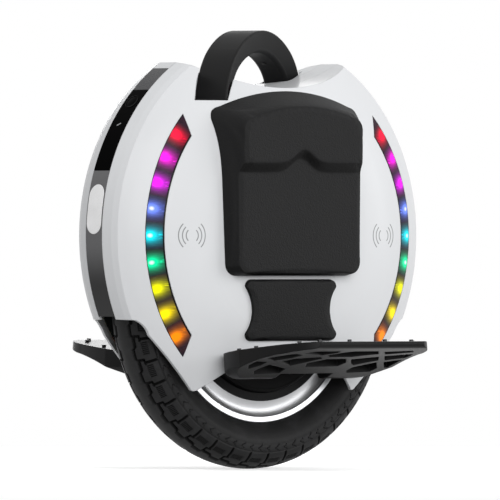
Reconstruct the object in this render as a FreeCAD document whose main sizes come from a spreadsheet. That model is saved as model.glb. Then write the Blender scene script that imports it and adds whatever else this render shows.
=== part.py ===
import FreeCAD, Part
import math
import os
import re
import Sketcher

# Electric unicycle. Millimetres, Z up, floor at zero, axle along X, headlight towards -Y.
# The rider's left is +X.

V = FreeCAD.Vector
Turn = FreeCAD.Rotation
os.makedirs("parts", exist_ok=True)
doc = FreeCAD.newDocument("unicycle")
sheet = doc.addObject("Spreadsheet::Sheet", "Sizes")

SIZES = {
    # wheel
    "tyre_radius": 183, "tyre_half": 30, "tread_half": "tyre_half - 6",
    "tread_drop": 9, "tyre_wall": 6,
    "flange_radius": 133, "flange_half": 19.4, "flange_wall": 3, "seat_radius": 127, "well_radius": 120,
    "rim_bore": 106, "rotor_inner": 97, "rotor_half": 18, "magnet_depth": 4, "magnet_half": 14,
    "magnet_count": 30, "air_gap": 0.7, "stator_half": 13, "coil_count": 27, "coil_depth": 20,
    "cover_radius": 110, "cover_step": 101.5, "cover_face": 20.6, "cover_bulge": 26.5, "hub_face": 33,
    "valve_radius": 2.5, "bearing_outer": 20, "bearing_inner": 10, "bearing_width": 12,
    "axle_thin": 8, "axle_half": "hanger_face + hanger_wall + 7",
    # shell
    "shell_height": 251.2, "shell_radius": 218.2, "edge_radius": 212, "band_radius": 215,
    "band_half": "trim_half + 11.9", "shell_half": "tyre_half + 37.4", "flat_radius": 110, "shell_round": 164,
    "shell_wall": 3, "seam_gap": 0.3, "seam_half": "trim_half + seam_gap",
    "scoop_radius": 255, "scoop_floor": 409.7, "lobe_reach": 113, "lobe_height": 85.6, "skirt_height": 131,
    "skirt_half": 47, "arch_front": 200, "arch_height": 164.6,
    # lights
    "light_outer": 187, "light_inner": 167.4, "light_tip": 130.2, "light_corner": 106.4, "light_gap": 0.25,
    "light_wall": 2.6, "board_face": "liner_half + liner_wall + 4.7", "lamp_radius": 3,
    "lamp_ring": "(light_inner + light_outer) / 2 + 1.8", "lamp_step": 9.15,
    # trim
    "trim_half": 13.1, "trim_wall": 5, "cap_top": 55.2, "window_top": 45.6, "window_low": 18.5,
    "trim_low": 23.4, "oval_half": 11.6, "oval_low": 0.4, "oval_top": 14.5, "cup_radius": 9, "cup_angle": 41,
    # pads
    "pad_face": "shell_half + 17.1", "pad_proud": "pad_face + 7",
    "pad_low": 207.7, "pad_corner": 384, "pad_bow": 235,
    "pad_half_low": 86, "pad_half_top": 87, "step_low": 319, "step_rise": 11, "step_peak": 15,
    "knee_face": "shell_half + 4.1",
    "knee_low": 136.3, "knee_top": 206.1, "knee_half": 65.7, "knee_bow": 37,
    # handle
    "handle_yaw": 25, "mouth_yaw": 49.4,
    "arch_half": 87.6, "arch_rise": 70, "arch_spring": 390, "arch_side": 62,
    "grip_thick": 24.4, "grip_outer": 36.9, "grip_inner": "grip_outer - 9.9",
    "foot_height": 396.3, "foot_gap": 0.4,
    "lift_radius": 2.4, "lift_angle": 27.6, "rod_x": "liner_half + liner_wall + 6.8", "rod_y": 77.5,
    "rod_thick": 8, "rod_wide": 18,
    "rod_length": 262, "guide_wall": 2,
    # pedals
    "pin_x": "hanger_face + 36",
    "pin_z": 112, "pin_radius": 5, "pin_length": 112, "pedal_tilt": 5.8, "pedal_top": 14.2,
    "pedal_in": 13, "pedal_out": 122.6, "pedal_half": 109, "pedal_end": 73, "pedal_skin": 4.5,
    "stud_radius": 2.3, "stud_height": 2.6, "knuckle_half": 36, "knuckle_radius": 9,
    "hanger_face": "liner_half + liner_wall + 8.3", "hanger_wall": 8, "hanger_top": 318,
    # inside
    "liner_gap": 5.5, "liner_radius": "tyre_radius + liner_gap", "liner_wall": 2.2,
    "liner_half": "tyre_half + liner_gap", "liner_hole": 112, "liner_sweep": 190, "post_radius": 6,
    "pack_depth": 19.5, "pack_length": 90, "pack_height": 110, "speaker_radius": 16, "speaker_y": 135.6,
    "button_radius": 7, "button_y": 60, "port_radius": 8, "flap_radius": 9.6,
}
for row, (alias, number) in enumerate(SIZES.items(), 1):
    sheet.set("A%d" % row, alias)
    sheet.setAlias("B%d" % row, alias)
for row, number in enumerate(SIZES.values(), 1):
    sheet.set("B%d" % row, "=%s" % number)
doc.recompute()

NODES = []


def formula(text):
    """Expression over the sheet for a size written with its aliases."""
    swap = lambda word: "Sizes." + word[0] if word[0] in SIZES else word[0]
    return re.sub(r"[a-z_]+", swap, str(text))


def value(text):
    return float(sheet.evalExpression(formula(text)))


def bind(thing, **sizes):
    for name, text in sizes.items():
        thing.setExpression(name, formula(text))


def place(thing, base=(0, 0, 0), turn=None):
    """Put a thing at a base given in sizes, after an optional turn."""
    thing.Placement = FreeCAD.Placement(V(*[value(b) for b in base]), turn or Turn())
    for axis, text in zip("xyz", base):
        thing.setExpression(".Placement.Base." + axis, formula(text))
    return thing


def node(thing, label):
    thing.Label = label
    NODES.append(thing)
    return thing


def cylinder(radius, height, base, axis=(0, 0, 1)):
    thing = doc.addObject("Part::Cylinder", "round")
    bind(thing, Radius=radius, Height=height)
    return place(thing, base, Turn(V(0, 0, 1), V(*axis)))


def box(size, base, turn=None):
    thing = doc.addObject("Part::Box", "block")
    bind(thing, Length=size[0], Width=size[1], Height=size[2])
    return place(thing, base, turn)


def cut(base, tool):
    thing = doc.addObject("Part::Cut", "cut")
    thing.Base = base
    thing.Tool = tool
    return thing


def fuse(*shapes):
    thing = doc.addObject("Part::MultiFuse", "joined")
    thing.Shapes = list(shapes)
    return thing


def group(*links):
    thing = doc.addObject("Part::Compound", "group")
    thing.Links = list(links)
    return thing


def half_turn(source, label):
    """The same piece on the other side, turned about the vertical."""
    thing = group(source)
    thing.Placement = FreeCAD.Placement(V(), Turn(V(0, 0, 1), 180))
    return node(thing, label)


def mirror(source, normal):
    thing = doc.addObject("Part::Mirroring", "mirrored")
    thing.Source = source
    thing.Normal = V(*normal)
    return thing


def body(base=(0, 0, 0), turn=None):
    return place(doc.addObject("PartDesign::Body", "body"), base, turn)


def arc(a, b, radius):
    """Short arc from a to b; a positive radius turns left, a negative one right."""
    middle = (a + b) * 0.5
    half = (b - a).Length / 2
    rise = math.sqrt(max(radius * radius - half * half, 0))
    side = V(a.y - b.y, b.x - a.x, 0).normalize()
    centre = middle + side * (rise if radius > 0 else -rise)
    first, last = (a, b) if radius > 0 else (b, a)
    angles = [math.atan2(p.y - centre.y, p.x - centre.x) for p in (first, last)]
    return Part.ArcOfCircle(Part.Circle(centre, V(0, 0, 1), abs(radius)), *angles)


def pin_down(sketch, geo, pos, x, y):
    """Hold one point of a sketch at two sizes."""
    for kind, text, axis in (("DistanceX", x, -2), ("DistanceY", y, -1)):
        if abs(value(text)) < 1e-9:
            sketch.addConstraint(Sketcher.Constraint("PointOnObject", geo, pos, axis))
            continue
        index = sketch.addConstraint(Sketcher.Constraint(kind, -1, 1, geo, pos, value(text)))
        sketch.setExpression("Constraints[%d]" % index, formula(text))


def draw(owner, role, *outlines, lift=0, closed=True):
    """Sketch on one of a body's own planes. An outline is a list of points (x, y), where a third
    entry is the radius of an arc on to the next point, or one circle (x, y, radius) as a tuple."""
    sketch = owner.newObject("Sketcher::SketchObject", "sketch")
    plane = [f for f in owner.Origin.OriginFeatures if f.Role == role][0]
    sketch.AttachmentSupport = [(plane, "")]
    sketch.MapMode = "FlatFace"
    sketch.AttachmentOffset = FreeCAD.Placement(V(0, 0, value(lift)), Turn())
    sketch.setExpression(".AttachmentOffset.Base.z", formula(lift))
    for outline in outlines:
        if isinstance(outline, tuple):
            x, y, radius = outline
            geo = sketch.addGeometry(Part.Circle(V(value(x), value(y), 0), V(0, 0, 1), value(radius)), False)
            pin_down(sketch, geo, 3, x, y)
            index = sketch.addConstraint(Sketcher.Constraint("Radius", geo, value(radius)))
            sketch.setExpression("Constraints[%d]" % index, formula(radius))
            continue
        spots = [V(value(p[0]), value(p[1]), 0) for p in outline]
        start = sketch.GeometryCount
        count = len(outline)
        heads = []
        edges = count if closed else count - 1
        for i, p in enumerate(outline[:edges]):
            a, b = spots[i], spots[(i + 1) % count]
            if len(p) == 2:
                sketch.addGeometry(Part.LineSegment(a, b), False)
                heads.append((1, 2))
            else:
                radius = value(p[2])
                sketch.addGeometry(arc(a, b, radius), False)
                heads.append((1, 2) if radius > 0 else (2, 1))
        if not closed:
            pin_down(sketch, start + edges - 1, heads[-1][1], *outline[-1][:2])
        for i, p in enumerate(outline[:edges]):
            after = (i + 1) % count
            if after < edges:
                sketch.addConstraint(
                    Sketcher.Constraint("Coincident", start + i, heads[i][1], start + after, heads[after][0]))
            pin_down(sketch, start + i, heads[i][0], p[0], p[1])
            if len(p) == 3:
                index = sketch.addConstraint(Sketcher.Constraint("Radius", start + i, abs(value(p[2]))))
                text = formula(p[2])
                sketch.setExpression("Constraints[%d]" % index, text if value(p[2]) > 0 else "-(%s)" % text)
    return sketch


def pad(owner, sketch, length, both=False, back=False):
    thing = owner.newObject("PartDesign::Pad", "pad")
    thing.Profile = sketch
    bind(thing, Length=length)
    thing.SideType = "Symmetric" if both else "One side"
    thing.Reversed = back
    return thing


def pocket(owner, sketch, length=None, both=False, back=False):
    thing = owner.newObject("PartDesign::Pocket", "pocket")
    thing.Profile = sketch
    if length is None:
        thing.Type = "ThroughAll"
    else:
        bind(thing, Length=length)
    thing.SideType = "Symmetric" if both else "One side"
    thing.Reversed = back
    return thing


def spin(owner, sketch, kind="Revolution", angle=360):
    """Turn a profile about the sketch's own horizontal axis."""
    thing = owner.newObject("PartDesign::" + kind, "spin")
    thing.Profile = sketch
    thing.ReferenceAxis = (sketch, ["H_Axis"])
    bind(thing, Angle=angle)
    return thing


def loft(owner, first, *others, kind="AdditiveLoft"):
    thing = owner.newObject("PartDesign::" + kind, "loft")
    thing.Profile = first
    thing.Sections = list(others)
    thing.Ruled = True
    return thing


def dome(radius, inset=0):
    """Half width of the shell's outer form at a radius, or of a layer that lies deeper by the inset."""
    return "shell_half - shell_round + sqrt((shell_round - %s)^2 - (%s - flat_radius)^2)" % (inset, radius)


def trim_outside(owner, inset=0):
    """Take off all that stands outside the dome."""
    edge = "edge_radius - %s" % inset
    profile = [
        ("seam_half - 10", "shell_radius - %s" % inset), ("seam_half", "shell_radius - %s" % inset),
        ("band_half", "band_radius - %s" % inset),
        (dome(edge, inset), edge, "-(shell_round - %s)" % inset),
        ("shell_half - %s" % inset, "flat_radius"), ("shell_half - %s" % inset, 0), (160, 0), (160, 320),
        ("seam_half - 10", 320)]
    spin(owner, draw(owner, "XZ_Plane", profile), "Groove")


def trim_inside(owner, inset=0):
    """Take off all that lies inside the dome."""
    edge = "edge_radius - %s" % inset
    profile = [
        (-20, 0), (-20, edge), (dome(edge, inset), edge, "-(shell_round - %s)" % inset),
        ("shell_half - %s" % inset, "flat_radius"), ("shell_half - %s" % inset, 0)]
    spin(owner, draw(owner, "XZ_Plane", profile), "Groove")


# Wheel
AXLE = (0, 0, "tyre_radius")


def ring(label, profile, base=AXLE):
    piece = body(base)
    spin(piece, draw(piece, "XZ_Plane", profile))
    return node(piece, label)


BEAD = "flange_half - flange_wall - 0.2"


def cavity(inset):
    """Right half of the space inside the tyre, from the bead up to the crown."""
    return [("flange_half - 9 - %s" % inset, "flange_radius + 4 + %s" % inset),
            ("tyre_half - tyre_wall - %s" % inset, "flange_radius + 22"),
            ("tread_half - 4 - %s" % inset, "tyre_radius - tread_drop - 7 - %s" % inset)]


def mirrored(points):
    return [("-(%s)" % x, z) for x, z in reversed(points)]


ring("tyre", [
    (0, "tyre_radius", -37), ("tread_half", "tyre_radius - tread_drop", -22),
    ("tyre_half", "flange_radius + 22", -40), (BEAD, "flange_radius + 0.6"), (BEAD, "seat_radius + 0.3"),
    ("flange_half - 10", "seat_radius + 0.3")]
    + cavity(0) + [(0, "tyre_radius - 8")] + mirrored(cavity(0)) + [
    ("10 - flange_half", "seat_radius + 0.3"), ("-(%s)" % BEAD, "seat_radius + 0.3"),
    ("-(%s)" % BEAD, "flange_radius + 0.6", -40), ("-tyre_half", "flange_radius + 22", -22),
    ("-tread_half", "tyre_radius - tread_drop", -37)])
ring("inner_tube", cavity(0.5) + [(0, "tyre_radius - 8.5")] + mirrored(cavity(0.5)))

rim = body(AXLE)
spin(rim, draw(rim, "XZ_Plane", [
    ("flange_half - flange_wall", "flange_radius"), ("flange_half", "flange_radius - 0.5"),
    ("flange_half", "flange_radius - 6"), ("flange_half - 0.9", "seat_radius - 0.8", 16),
    ("rotor_half", "cover_radius"), ("rotor_half", "rim_bore"), ("-rotor_half", "rim_bore"),
    ("-rotor_half", "cover_radius", 16), ("0.9 - flange_half", "seat_radius - 0.8"),
    ("-flange_half", "flange_radius - 6"), ("-flange_half", "flange_radius - 0.5"),
    ("flange_wall - flange_half", "flange_radius"), ("flange_wall - flange_half", "seat_radius"),
    (-8, "seat_radius - 1"), (-6, "well_radius"), (6, "well_radius"), (8, "seat_radius - 1"),
    ("flange_half - flange_wall", "seat_radius")]))
VALVE = (1, 0, "tyre_radius + well_radius + 2.5")
VALVE_WAY = (0.95, 0, -0.31)
node(cut(rim, cylinder("valve_radius + 0.05", 40, VALVE, VALVE_WAY)), "rim")
node(cylinder("valve_radius", 28, VALVE, VALVE_WAY), "valve_stem")

ring("rotor_ring", [
    ("-rotor_half", "rim_bore"), ("rotor_half", "rim_bore"), ("rotor_half", "rotor_inner"),
    ("-rotor_half", "rotor_inner")])

magnets = []
for k in range(int(SIZES["magnet_count"])):
    turn = 360 / SIZES["magnet_count"] * k
    magnets.append(box(("2 * magnet_half", 17, "magnet_depth - 0.6"), AXLE))
    magnets[-1].Placement = FreeCAD.Placement(
        V(0, 0, value("tyre_radius")) + Turn(V(1, 0, 0), turn).multVec(
            V(-value("magnet_half"), -8.5, value("rotor_inner - magnet_depth"))), Turn(V(1, 0, 0), turn))
    magnets[-1].setExpression(".Placement.Base.x", formula("-magnet_half"))
    for axis, part in (("y", "cos(%f) * -8.5 - sin(%f) * (rotor_inner - magnet_depth)"),
                       ("z", "tyre_radius + sin(%f) * -8.5 + cos(%f) * (rotor_inner - magnet_depth)")):
        magnets[-1].setExpression(".Placement.Base." + axis, formula(part % (turn, turn)))
node(group(*magnets), "magnets")

cover = body(AXLE)
spin(cover, draw(cover, "XZ_Plane", [
    ("rotor_half + 0.2", "cover_radius"), ("cover_face", "cover_radius"), ("cover_face", "cover_step"),
    ("cover_bulge - 3", "cover_step - 1", -3), ("cover_bulge", "cover_step - 5"), ("cover_bulge + 2", 40),
    ("hub_face", 30), ("hub_face", 14), ("hub_face - 1.8", 14), ("hub_face - 1.8", "bearing_outer + 0.05"),
    ("hub_face - 2 - bearing_width", "bearing_outer + 0.05"), ("hub_face - 2 - bearing_width", 28),
    ("cover_bulge - 2", 42), ("cover_bulge - 4", "cover_step - 8"), ("rotor_half + 0.2", "cover_step - 6")]))
node(cover, "motor_cover_left")
half_turn(cover, "motor_cover_right")

BEARING = ("hub_face - 1.9 - bearing_width", 0, "tyre_radius")
bearing = cut(cylinder("bearing_outer", "bearing_width", BEARING, (1, 0, 0)),
              cylinder("bearing_inner + 0.05", "bearing_width", BEARING, (1, 0, 0)))
node(group(bearing, mirror(bearing, (1, 0, 0))), "bearings")

ring("axle", [
    ("-axle_half", 0), ("-axle_half", "axle_thin"), ("0.1 - hanger_face", "axle_thin"),
    ("0.1 - hanger_face", "bearing_inner"), ("hanger_face - 0.1", "bearing_inner"),
    ("hanger_face - 0.1", "axle_thin"), ("axle_half", "axle_thin"), ("axle_half", 0)])

core = body(AXLE)
spin(core, draw(core, "XZ_Plane", [
    ("-stator_half", "rotor_inner - magnet_depth - air_gap"),
    ("stator_half", "rotor_inner - magnet_depth - air_gap"), ("stator_half", 58), (5, 54), (5, 26), (12, 22),
    (12, "bearing_inner"), (-12, "bearing_inner"), (-12, 22), (-5, 26), (-5, 54), ("-stator_half", 58)]))
slot = pocket(core, draw(core, "YZ_Plane", [
    (-3, "rotor_inner - magnet_depth - coil_depth"), (3, "rotor_inner - magnet_depth - coil_depth"),
    (4.6, "rotor_inner - magnet_depth + 2"), (-4.6, "rotor_inner - magnet_depth + 2")]), both=True)
slots = core.newObject("PartDesign::PolarPattern", "slots")
slots.Originals = [slot]
slots.Axis = (slot.Profile[0], ["N_Axis"])
slots.Angle = 360
slots.Occurrences = int(SIZES["coil_count"])
core.Tip = slots
node(core, "stator_core")

coils = []
for k in range(int(SIZES["coil_count"])):
    turn = 360 / SIZES["coil_count"] * k
    coils.append(box(("2 * stator_half + 6", 5.4, "coil_depth - 4"), AXLE))
    coils[-1].Placement = FreeCAD.Placement(
        V(0, 0, value("tyre_radius")), Turn(V(1, 0, 0), turn))
    coils[-1].setExpression(".Placement.Base.x", formula("-stator_half - 3"))
    for axis, part in (("y", "cos(%f) * -2.7 - sin(%f) * (rotor_inner - magnet_depth - coil_depth + 0.4)"),
                       ("z", "tyre_radius + sin(%f) * -2.7"
                             " + cos(%f) * (rotor_inner - magnet_depth - coil_depth + 0.4)")):
        coils[-1].setExpression(".Placement.Base." + axis, formula(part % (turn, turn)))
node(group(*coils), "stator_coils")

nut = doc.addObject("Part::Prism", "nut")
bind(nut, Circumradius=13, Height="axle_half - hanger_face - hanger_wall - 0.5")
place(nut, ("hanger_face + hanger_wall + 0.1", 0, "tyre_radius"), Turn(V(0, 0, 1), V(1, 0, 0)))
nut = cut(nut, cylinder("axle_thin + 0.05", 30, ("hanger_face", 0, "tyre_radius"), (1, 0, 0)))
node(group(nut, mirror(nut, (1, 0, 0))), "axle_nuts")


# Shell
HUB = (0, 0, "shell_height")


def diagonal(along, across):
    """Plan point on the handle's diagonal: along it to the front left, and across it to the rear left."""
    return ("(%s) * sin(handle_yaw) + (%s) * cos(handle_yaw)" % (along, across),
            "-(%s) * cos(handle_yaw) + (%s) * sin(handle_yaw)" % (along, across))


def shifted(point, x, y):
    return ("%s + %s" % (point[0], x), "%s + %s" % (point[1], y))


def light_outline(gap, sign):
    """Curved window between two radii with slanted ends; the sign picks front or rear."""
    outer = "(light_outer - %s)" % gap
    inner = "(light_inner + %s)" % gap
    tip = "(light_tip - 1.5 * %s)" % gap
    corner = "(light_corner - %s)" % gap
    far = "%d * sqrt(%s^2 - %s^2)" % (sign, outer, tip)
    near = "%d * sqrt(%s^2 - %s^2)" % (sign, inner, corner)
    return [(far, tip, "%d * %s" % (-sign, outer)), (far, "-" + tip), (near, "-" + corner,
            "%d * %s" % (sign, inner)), (near, corner)]


shell = body(HUB)
spin(shell, draw(shell, "XZ_Plane", [
    ("seam_half", "shell_radius"), ("band_half", "band_radius"),
    (dome("edge_radius"), "edge_radius", "-shell_round"), ("shell_half", "flat_radius"), ("shell_half", 0),
    ("shell_half - shell_wall", 0), ("shell_half - shell_wall", "flat_radius", "shell_round - shell_wall"),
    (dome("edge_radius - 4", "shell_wall"), "edge_radius - 4"),
    ("band_half - 1", "band_radius - 3.6"), ("seam_half", "shell_radius - 3.6")]))
FLOOR = "(scoop_floor - shell_height)"
SCOOP_EDGE = FLOOR + " + scoop_radius - sqrt((scoop_radius + shell_wall)^2 - 118^2)"
pad(shell, draw(shell, "YZ_Plane", [
    (-118, SCOOP_EDGE, "scoop_radius + shell_wall"), (118, SCOOP_EDGE), (118, FLOOR + " + 40"),
    (-118, FLOOR + " + 40")], lift="seam_half"), 60)
ledge = [diagonal("arch_half - grip_thick / 2 - 6", "-grip_outer / 2 - 4"),
         diagonal("arch_half - grip_thick / 2 - 6", "grip_outer / 2 + 4")]
pad(shell, draw(shell, "XY_Plane", [
    ledge[0], shifted(diagonal("arch_half + 12", "-grip_outer / 2 - 4"), 50, -46),
    shifted(diagonal("arch_half + 12", "grip_outer / 2 + 4"), 50, -46), ledge[1]],
    lift="foot_height - foot_gap - shell_height"), "shell_wall", back=True)
trim_outside(shell)
pocket(shell, draw(shell, "YZ_Plane", [
    (-170, FLOOR + " + scoop_radius - sqrt(scoop_radius^2 - 170^2)", "scoop_radius"),
    (170, FLOOR + " + scoop_radius - sqrt(scoop_radius^2 - 170^2)"), (170, 260), (-170, 260)]), back=True)
pocket(shell, draw(shell, "XY_Plane", [
    ("rod_x - rod_thick / 2 - 0.5", "-rod_y - rod_wide / 2 - 0.5"),
    ("rod_x + rod_thick / 2 + 0.5", "-rod_y - rod_wide / 2 - 0.5"),
    ("rod_x + rod_thick / 2 + 0.5", "0.5 + rod_wide / 2 - rod_y"),
    ("rod_x - rod_thick / 2 - 0.5", "0.5 + rod_wide / 2 - rod_y")],
    lift="foot_height - shell_height - 20"), 60, back=True)


def low(z):
    return "%s - shell_height" % z


pocket(shell, draw(shell, "YZ_Plane", [
    ("-arch_front - 40", low("arch_height")), ("-arch_front + 12", low("arch_height - 4"), -30),
    ("-arch_front + 27", low("arch_height - 20")), ("-lobe_reach - 4", low("lobe_height + 2"), 6),
    ("-lobe_reach + 6", low("lobe_height + 1.5")), ("-skirt_half - 20", low("skirt_height - 16"), -40),
    ("-skirt_half", low("skirt_height")), ("skirt_half", low("skirt_height"), -40),
    ("skirt_half + 20", low("skirt_height - 16")), ("lobe_reach - 6", low("lobe_height + 1.5"), 6),
    ("lobe_reach + 4", low("lobe_height + 2")), ("arch_front - 27", low("arch_height - 20"), -30),
    ("arch_front - 12", low("arch_height - 4")), ("arch_front + 40", low("arch_height")),
    ("arch_front + 40", -260), ("-arch_front - 40", -260)]), back=True)
pocket(shell, draw(shell, "YZ_Plane", light_outline(0, -1), light_outline(0, 1), lift=20), back=True)
notch = body((0, 0, 0), Turn(V(0, 0, -1), 90 - SIZES["handle_yaw"]))
bind(notch, **{".Placement.Rotation.Angle": "90 - handle_yaw"})
LEG_ROUND = "(arch_side - grip_thick / 2 - foot_gap)"
NOTCH_LOW = "(foot_height - foot_gap)"
NOTCH_TOP = "(scoop_floor + 28)"
pad(notch, draw(notch, "XZ_Plane", [
    ("arch_half - arch_side + sqrt(%s^2 - (%s - arch_spring)^2)" % (LEG_ROUND, NOTCH_LOW), NOTCH_LOW),
    ("arch_half + grip_thick / 2", NOTCH_LOW), ("arch_half + grip_thick / 2", NOTCH_TOP),
    ("arch_half - arch_side + sqrt(%s^2 - (%s - arch_spring)^2)" % (LEG_ROUND, NOTCH_TOP), NOTCH_TOP,
     "-" + LEG_ROUND)]), "grip_outer + 2 * foot_gap", both=True)
mouth = body((0, 0, 0), Turn(V(0, 0, 1), SIZES["mouth_yaw"]))
bind(mouth, **{".Placement.Rotation.Angle": "mouth_yaw"})


def leg_side(z, side):
    """Place across the notch's mouth of the leg's outer corner at a height."""
    along = "(arch_half - arch_side + sqrt((arch_side + grip_thick / 2)^2 - (%s - arch_spring)^2))" % z
    across = "%d * (grip_outer / 2 + foot_gap)" % side
    return "-%s * sin(mouth_yaw - handle_yaw) + %s * cos(mouth_yaw - handle_yaw)" % (along, across), z


MOUTH_MIDDLE = "((%s + %s) / 2)" % (NOTCH_LOW, NOTCH_TOP)
pad(mouth, draw(mouth, "XZ_Plane", [
    leg_side(NOTCH_LOW, -1), leg_side(NOTCH_LOW, 1), (leg_side(NOTCH_LOW, 1)[0], NOTCH_TOP),
    leg_side(NOTCH_TOP, -1), leg_side(MOUTH_MIDDLE, -1)], lift="arch_half - 11.6"), 120)
shell = node(cut(shell, fuse(notch, mouth)), "shell_left")
half_turn(shell, "shell_right")

# Lights along the shell's edge
lens = body(HUB)
pad(lens, draw(lens, "YZ_Plane", light_outline("light_gap", -1), lift="shell_half - 32.4"), 40)
trim_outside(lens, "0.1")
trim_inside(lens, "light_wall")
board = body(HUB)
BOARD_IN = "(light_inner + 4)"
BOARD_OUT = "(light_outer + 3.8)"
pad(board, draw(board, "YZ_Plane", [
    ("-%s * cos(38)" % BOARD_OUT, BOARD_OUT + " * sin(38)", BOARD_OUT),
    ("-%s * cos(38)" % BOARD_OUT, "-%s * sin(38)" % BOARD_OUT),
    ("-%s * cos(38)" % BOARD_IN, "-%s * sin(38)" % BOARD_IN, "-" + BOARD_IN),
    ("-%s * cos(38)" % BOARD_IN, BOARD_IN + " * sin(38)")], lift="board_face - 1.4"), 1.4)
lamps = [box((2.6, "2 * lamp_radius", "2 * lamp_radius"), (
    "board_face", "-lamp_ring * cos(%d * lamp_step) - lamp_radius" % k,
    "shell_height + lamp_ring * sin(%d * lamp_step) - lamp_radius" % k)) for k in range(-4, 5)]
for piece, label in ((lens, "light_lens"), (group(board, *lamps), "lamp_board")):
    rear = mirror(piece, (0, 1, 0))
    node(piece, label + "_front_left")
    node(rear, label + "_rear_left")
    half_turn(piece, label + "_rear_right")
    half_turn(rear, label + "_front_right")

# Trim on the front and rear edges
SPIN_X = V(1, 0, 0)


def edge_band(low_angle, high_angle, outer="shell_radius", wall="trim_wall", half="trim_half"):
    """Curved strip on the front edge between two angles above the horizontal."""
    band = body(HUB, Turn(SPIN_X, 90 - value(high_angle)))
    band.setExpression(".Placement.Rotation.Angle", formula("90 - (%s)" % high_angle))
    spin(band, draw(band, "XZ_Plane", [
        ("-(%s)" % half, "%s - %s" % (outer, wall)), (half, "%s - %s" % (outer, wall)), (half, outer),
        ("-(%s)" % half, outer)]), angle="(%s) - (%s)" % (high_angle, low_angle))
    return band


cap = node(edge_band("window_top + 0.08", "cap_top"), "front_cap")
half_turn(cap, "rear_cap")
window = node(edge_band("window_low + 0.08", "window_top"), "headlight_window")
half_turn(window, "tail_light_window")
front_low = edge_band("-trim_low", "window_low")


def oval(grow):
    """Rounded bar set upright on the front edge."""
    side = "oval_half + %s" % grow
    top = "shell_radius * sin(oval_top) + %s" % grow
    bottom = "shell_radius * sin(oval_low) - %s" % grow
    return [("-(%s)" % side, bottom + " + oval_half", "oval_half + 0.3"), (0, bottom, "oval_half + 0.3"),
            (side, bottom + " + oval_half"), (side, top + " - oval_half", "oval_half + 0.3"),
            (0, top, "oval_half + 0.3"), ("-(%s)" % side, top + " - oval_half")]


inlay = body(HUB)
pad(inlay, draw(inlay, "XZ_Plane", oval(0), lift=200), 30)
spin(inlay, draw(inlay, "XZ_Plane", [
    (-20, "shell_radius + 0.5"), (20, "shell_radius + 0.5"), (20, 260), (-20, 260)]), "Groove")
spin(inlay, draw(inlay, "XZ_Plane", [
    (-20, 150), (20, 150), (20, "shell_radius - 2"), (-20, "shell_radius - 2")]), "Groove")
node(inlay, "oval_inlay")
seat = body(HUB)
pad(seat, draw(seat, "XZ_Plane", oval(0.15), lift=200), 30)
spin(seat, draw(seat, "XZ_Plane", [
    (-20, 150), (20, 150), (20, "shell_radius - 2.1"), (-20, "shell_radius - 2.1")]), "Groove")
node(cut(front_low, seat), "front_strip")

rear_plain = group(edge_band("-trim_low", "window_low"))
rear_plain.Placement = FreeCAD.Placement(V(), Turn(V(0, 0, 1), 180))
node(cut(rear_plain, cylinder("flap_radius + 0.5", 40, (0, "shell_radius - 20", "shell_height"), (0, 1, 0))),
     "rear_strip")
PORT = (0, "shell_radius - trim_wall - 14", "shell_height")
PORT_RIM = (0, "shell_radius - trim_wall - 2.4", "shell_height")
socket = cut(fuse(cylinder("port_radius + 2", 14, PORT, (0, 1, 0)),
                  cylinder("flap_radius + 3", 2, PORT_RIM, (0, 1, 0))),
             cylinder("port_radius", 30, (0, "shell_radius - trim_wall - 11", "shell_height"), (0, 1, 0)))
node(socket, "charge_socket")
node(cylinder("flap_radius", 3.4, (0, "shell_radius - 4", "shell_height"), (0, 1, 0)), "charge_flap")

AIM = (0, "-cos(cup_angle)", "sin(cup_angle)")
aim = [value(part) for part in AIM]
CUP = (0, "-(shell_radius - trim_wall - 16) * cos(cup_angle)",
       "shell_height + (shell_radius - trim_wall - 16) * sin(cup_angle)")
cup_wall = cylinder("cup_radius", 15.6, CUP, aim)
cup_hole = doc.addObject("Part::Cone", "cone")
bind(cup_hole, Radius1=2.5, Radius2="cup_radius - 1.2", Height=13)
place(cup_hole, (0, CUP[1] + " - 2.7 * cos(cup_angle)", CUP[2] + " + 2.7 * sin(cup_angle)"),
      Turn(V(0, 0, 1), V(*aim)))
node(cut(cup_wall, cup_hole), "headlight_cup")
tail = edge_band("window_low + 4", "window_top - 4", "shell_radius - trim_wall - 0.2", 1.6, "trim_half - 3")
half_turn(tail, "tail_light_board")

# Spine between the shells over the top
spine = body(HUB)
nose = [("(shell_radius - trim_wall) * cos(cap_top + 0.08)",
         "(shell_radius - trim_wall) * sin(cap_top + 0.08)"),
        ("(shell_radius + 4) * cos(cap_top + 0.08)", "(shell_radius + 4) * sin(cap_top + 0.08)"),
        ("140", FLOOR + " + 60")]
UNDER = FLOOR + " + scoop_radius - sqrt((scoop_radius + 4)^2 - 104^2)"
pad(spine, draw(spine, "YZ_Plane", [(-104, UNDER, "scoop_radius + 4"), (104, UNDER)] + nose
    + [("-" + y, z) for y, z in reversed(nose)]), "2 * trim_half", both=True)
spin(spine, draw(spine, "XZ_Plane", [
    (-30, "shell_radius"), (30, "shell_radius"), (30, 330), (-30, 330)]), "Groove")
pocket(spine, draw(spine, "YZ_Plane", [
    (-170, FLOOR + " + scoop_radius - sqrt(scoop_radius^2 - 170^2)", "scoop_radius"),
    (170, FLOOR + " + scoop_radius - sqrt(scoop_radius^2 - 170^2)"), (170, 260), (-170, 260)]), both=True)
LEAN = "asin(button_y / scoop_radius)"
tilt = math.degrees(math.asin(SIZES["button_y"] / SIZES["scoop_radius"]))
UP = (0, math.sin(math.radians(tilt)), math.cos(math.radians(tilt)))


def over_floor(depth):
    """Point on the button's own line, a depth below the scoop."""
    return (0, "-(scoop_radius + %s) * sin(%s)" % (depth, LEAN),
            "scoop_floor + scoop_radius - (scoop_radius + %s) * cos(%s)" % (depth, LEAN))


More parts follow.
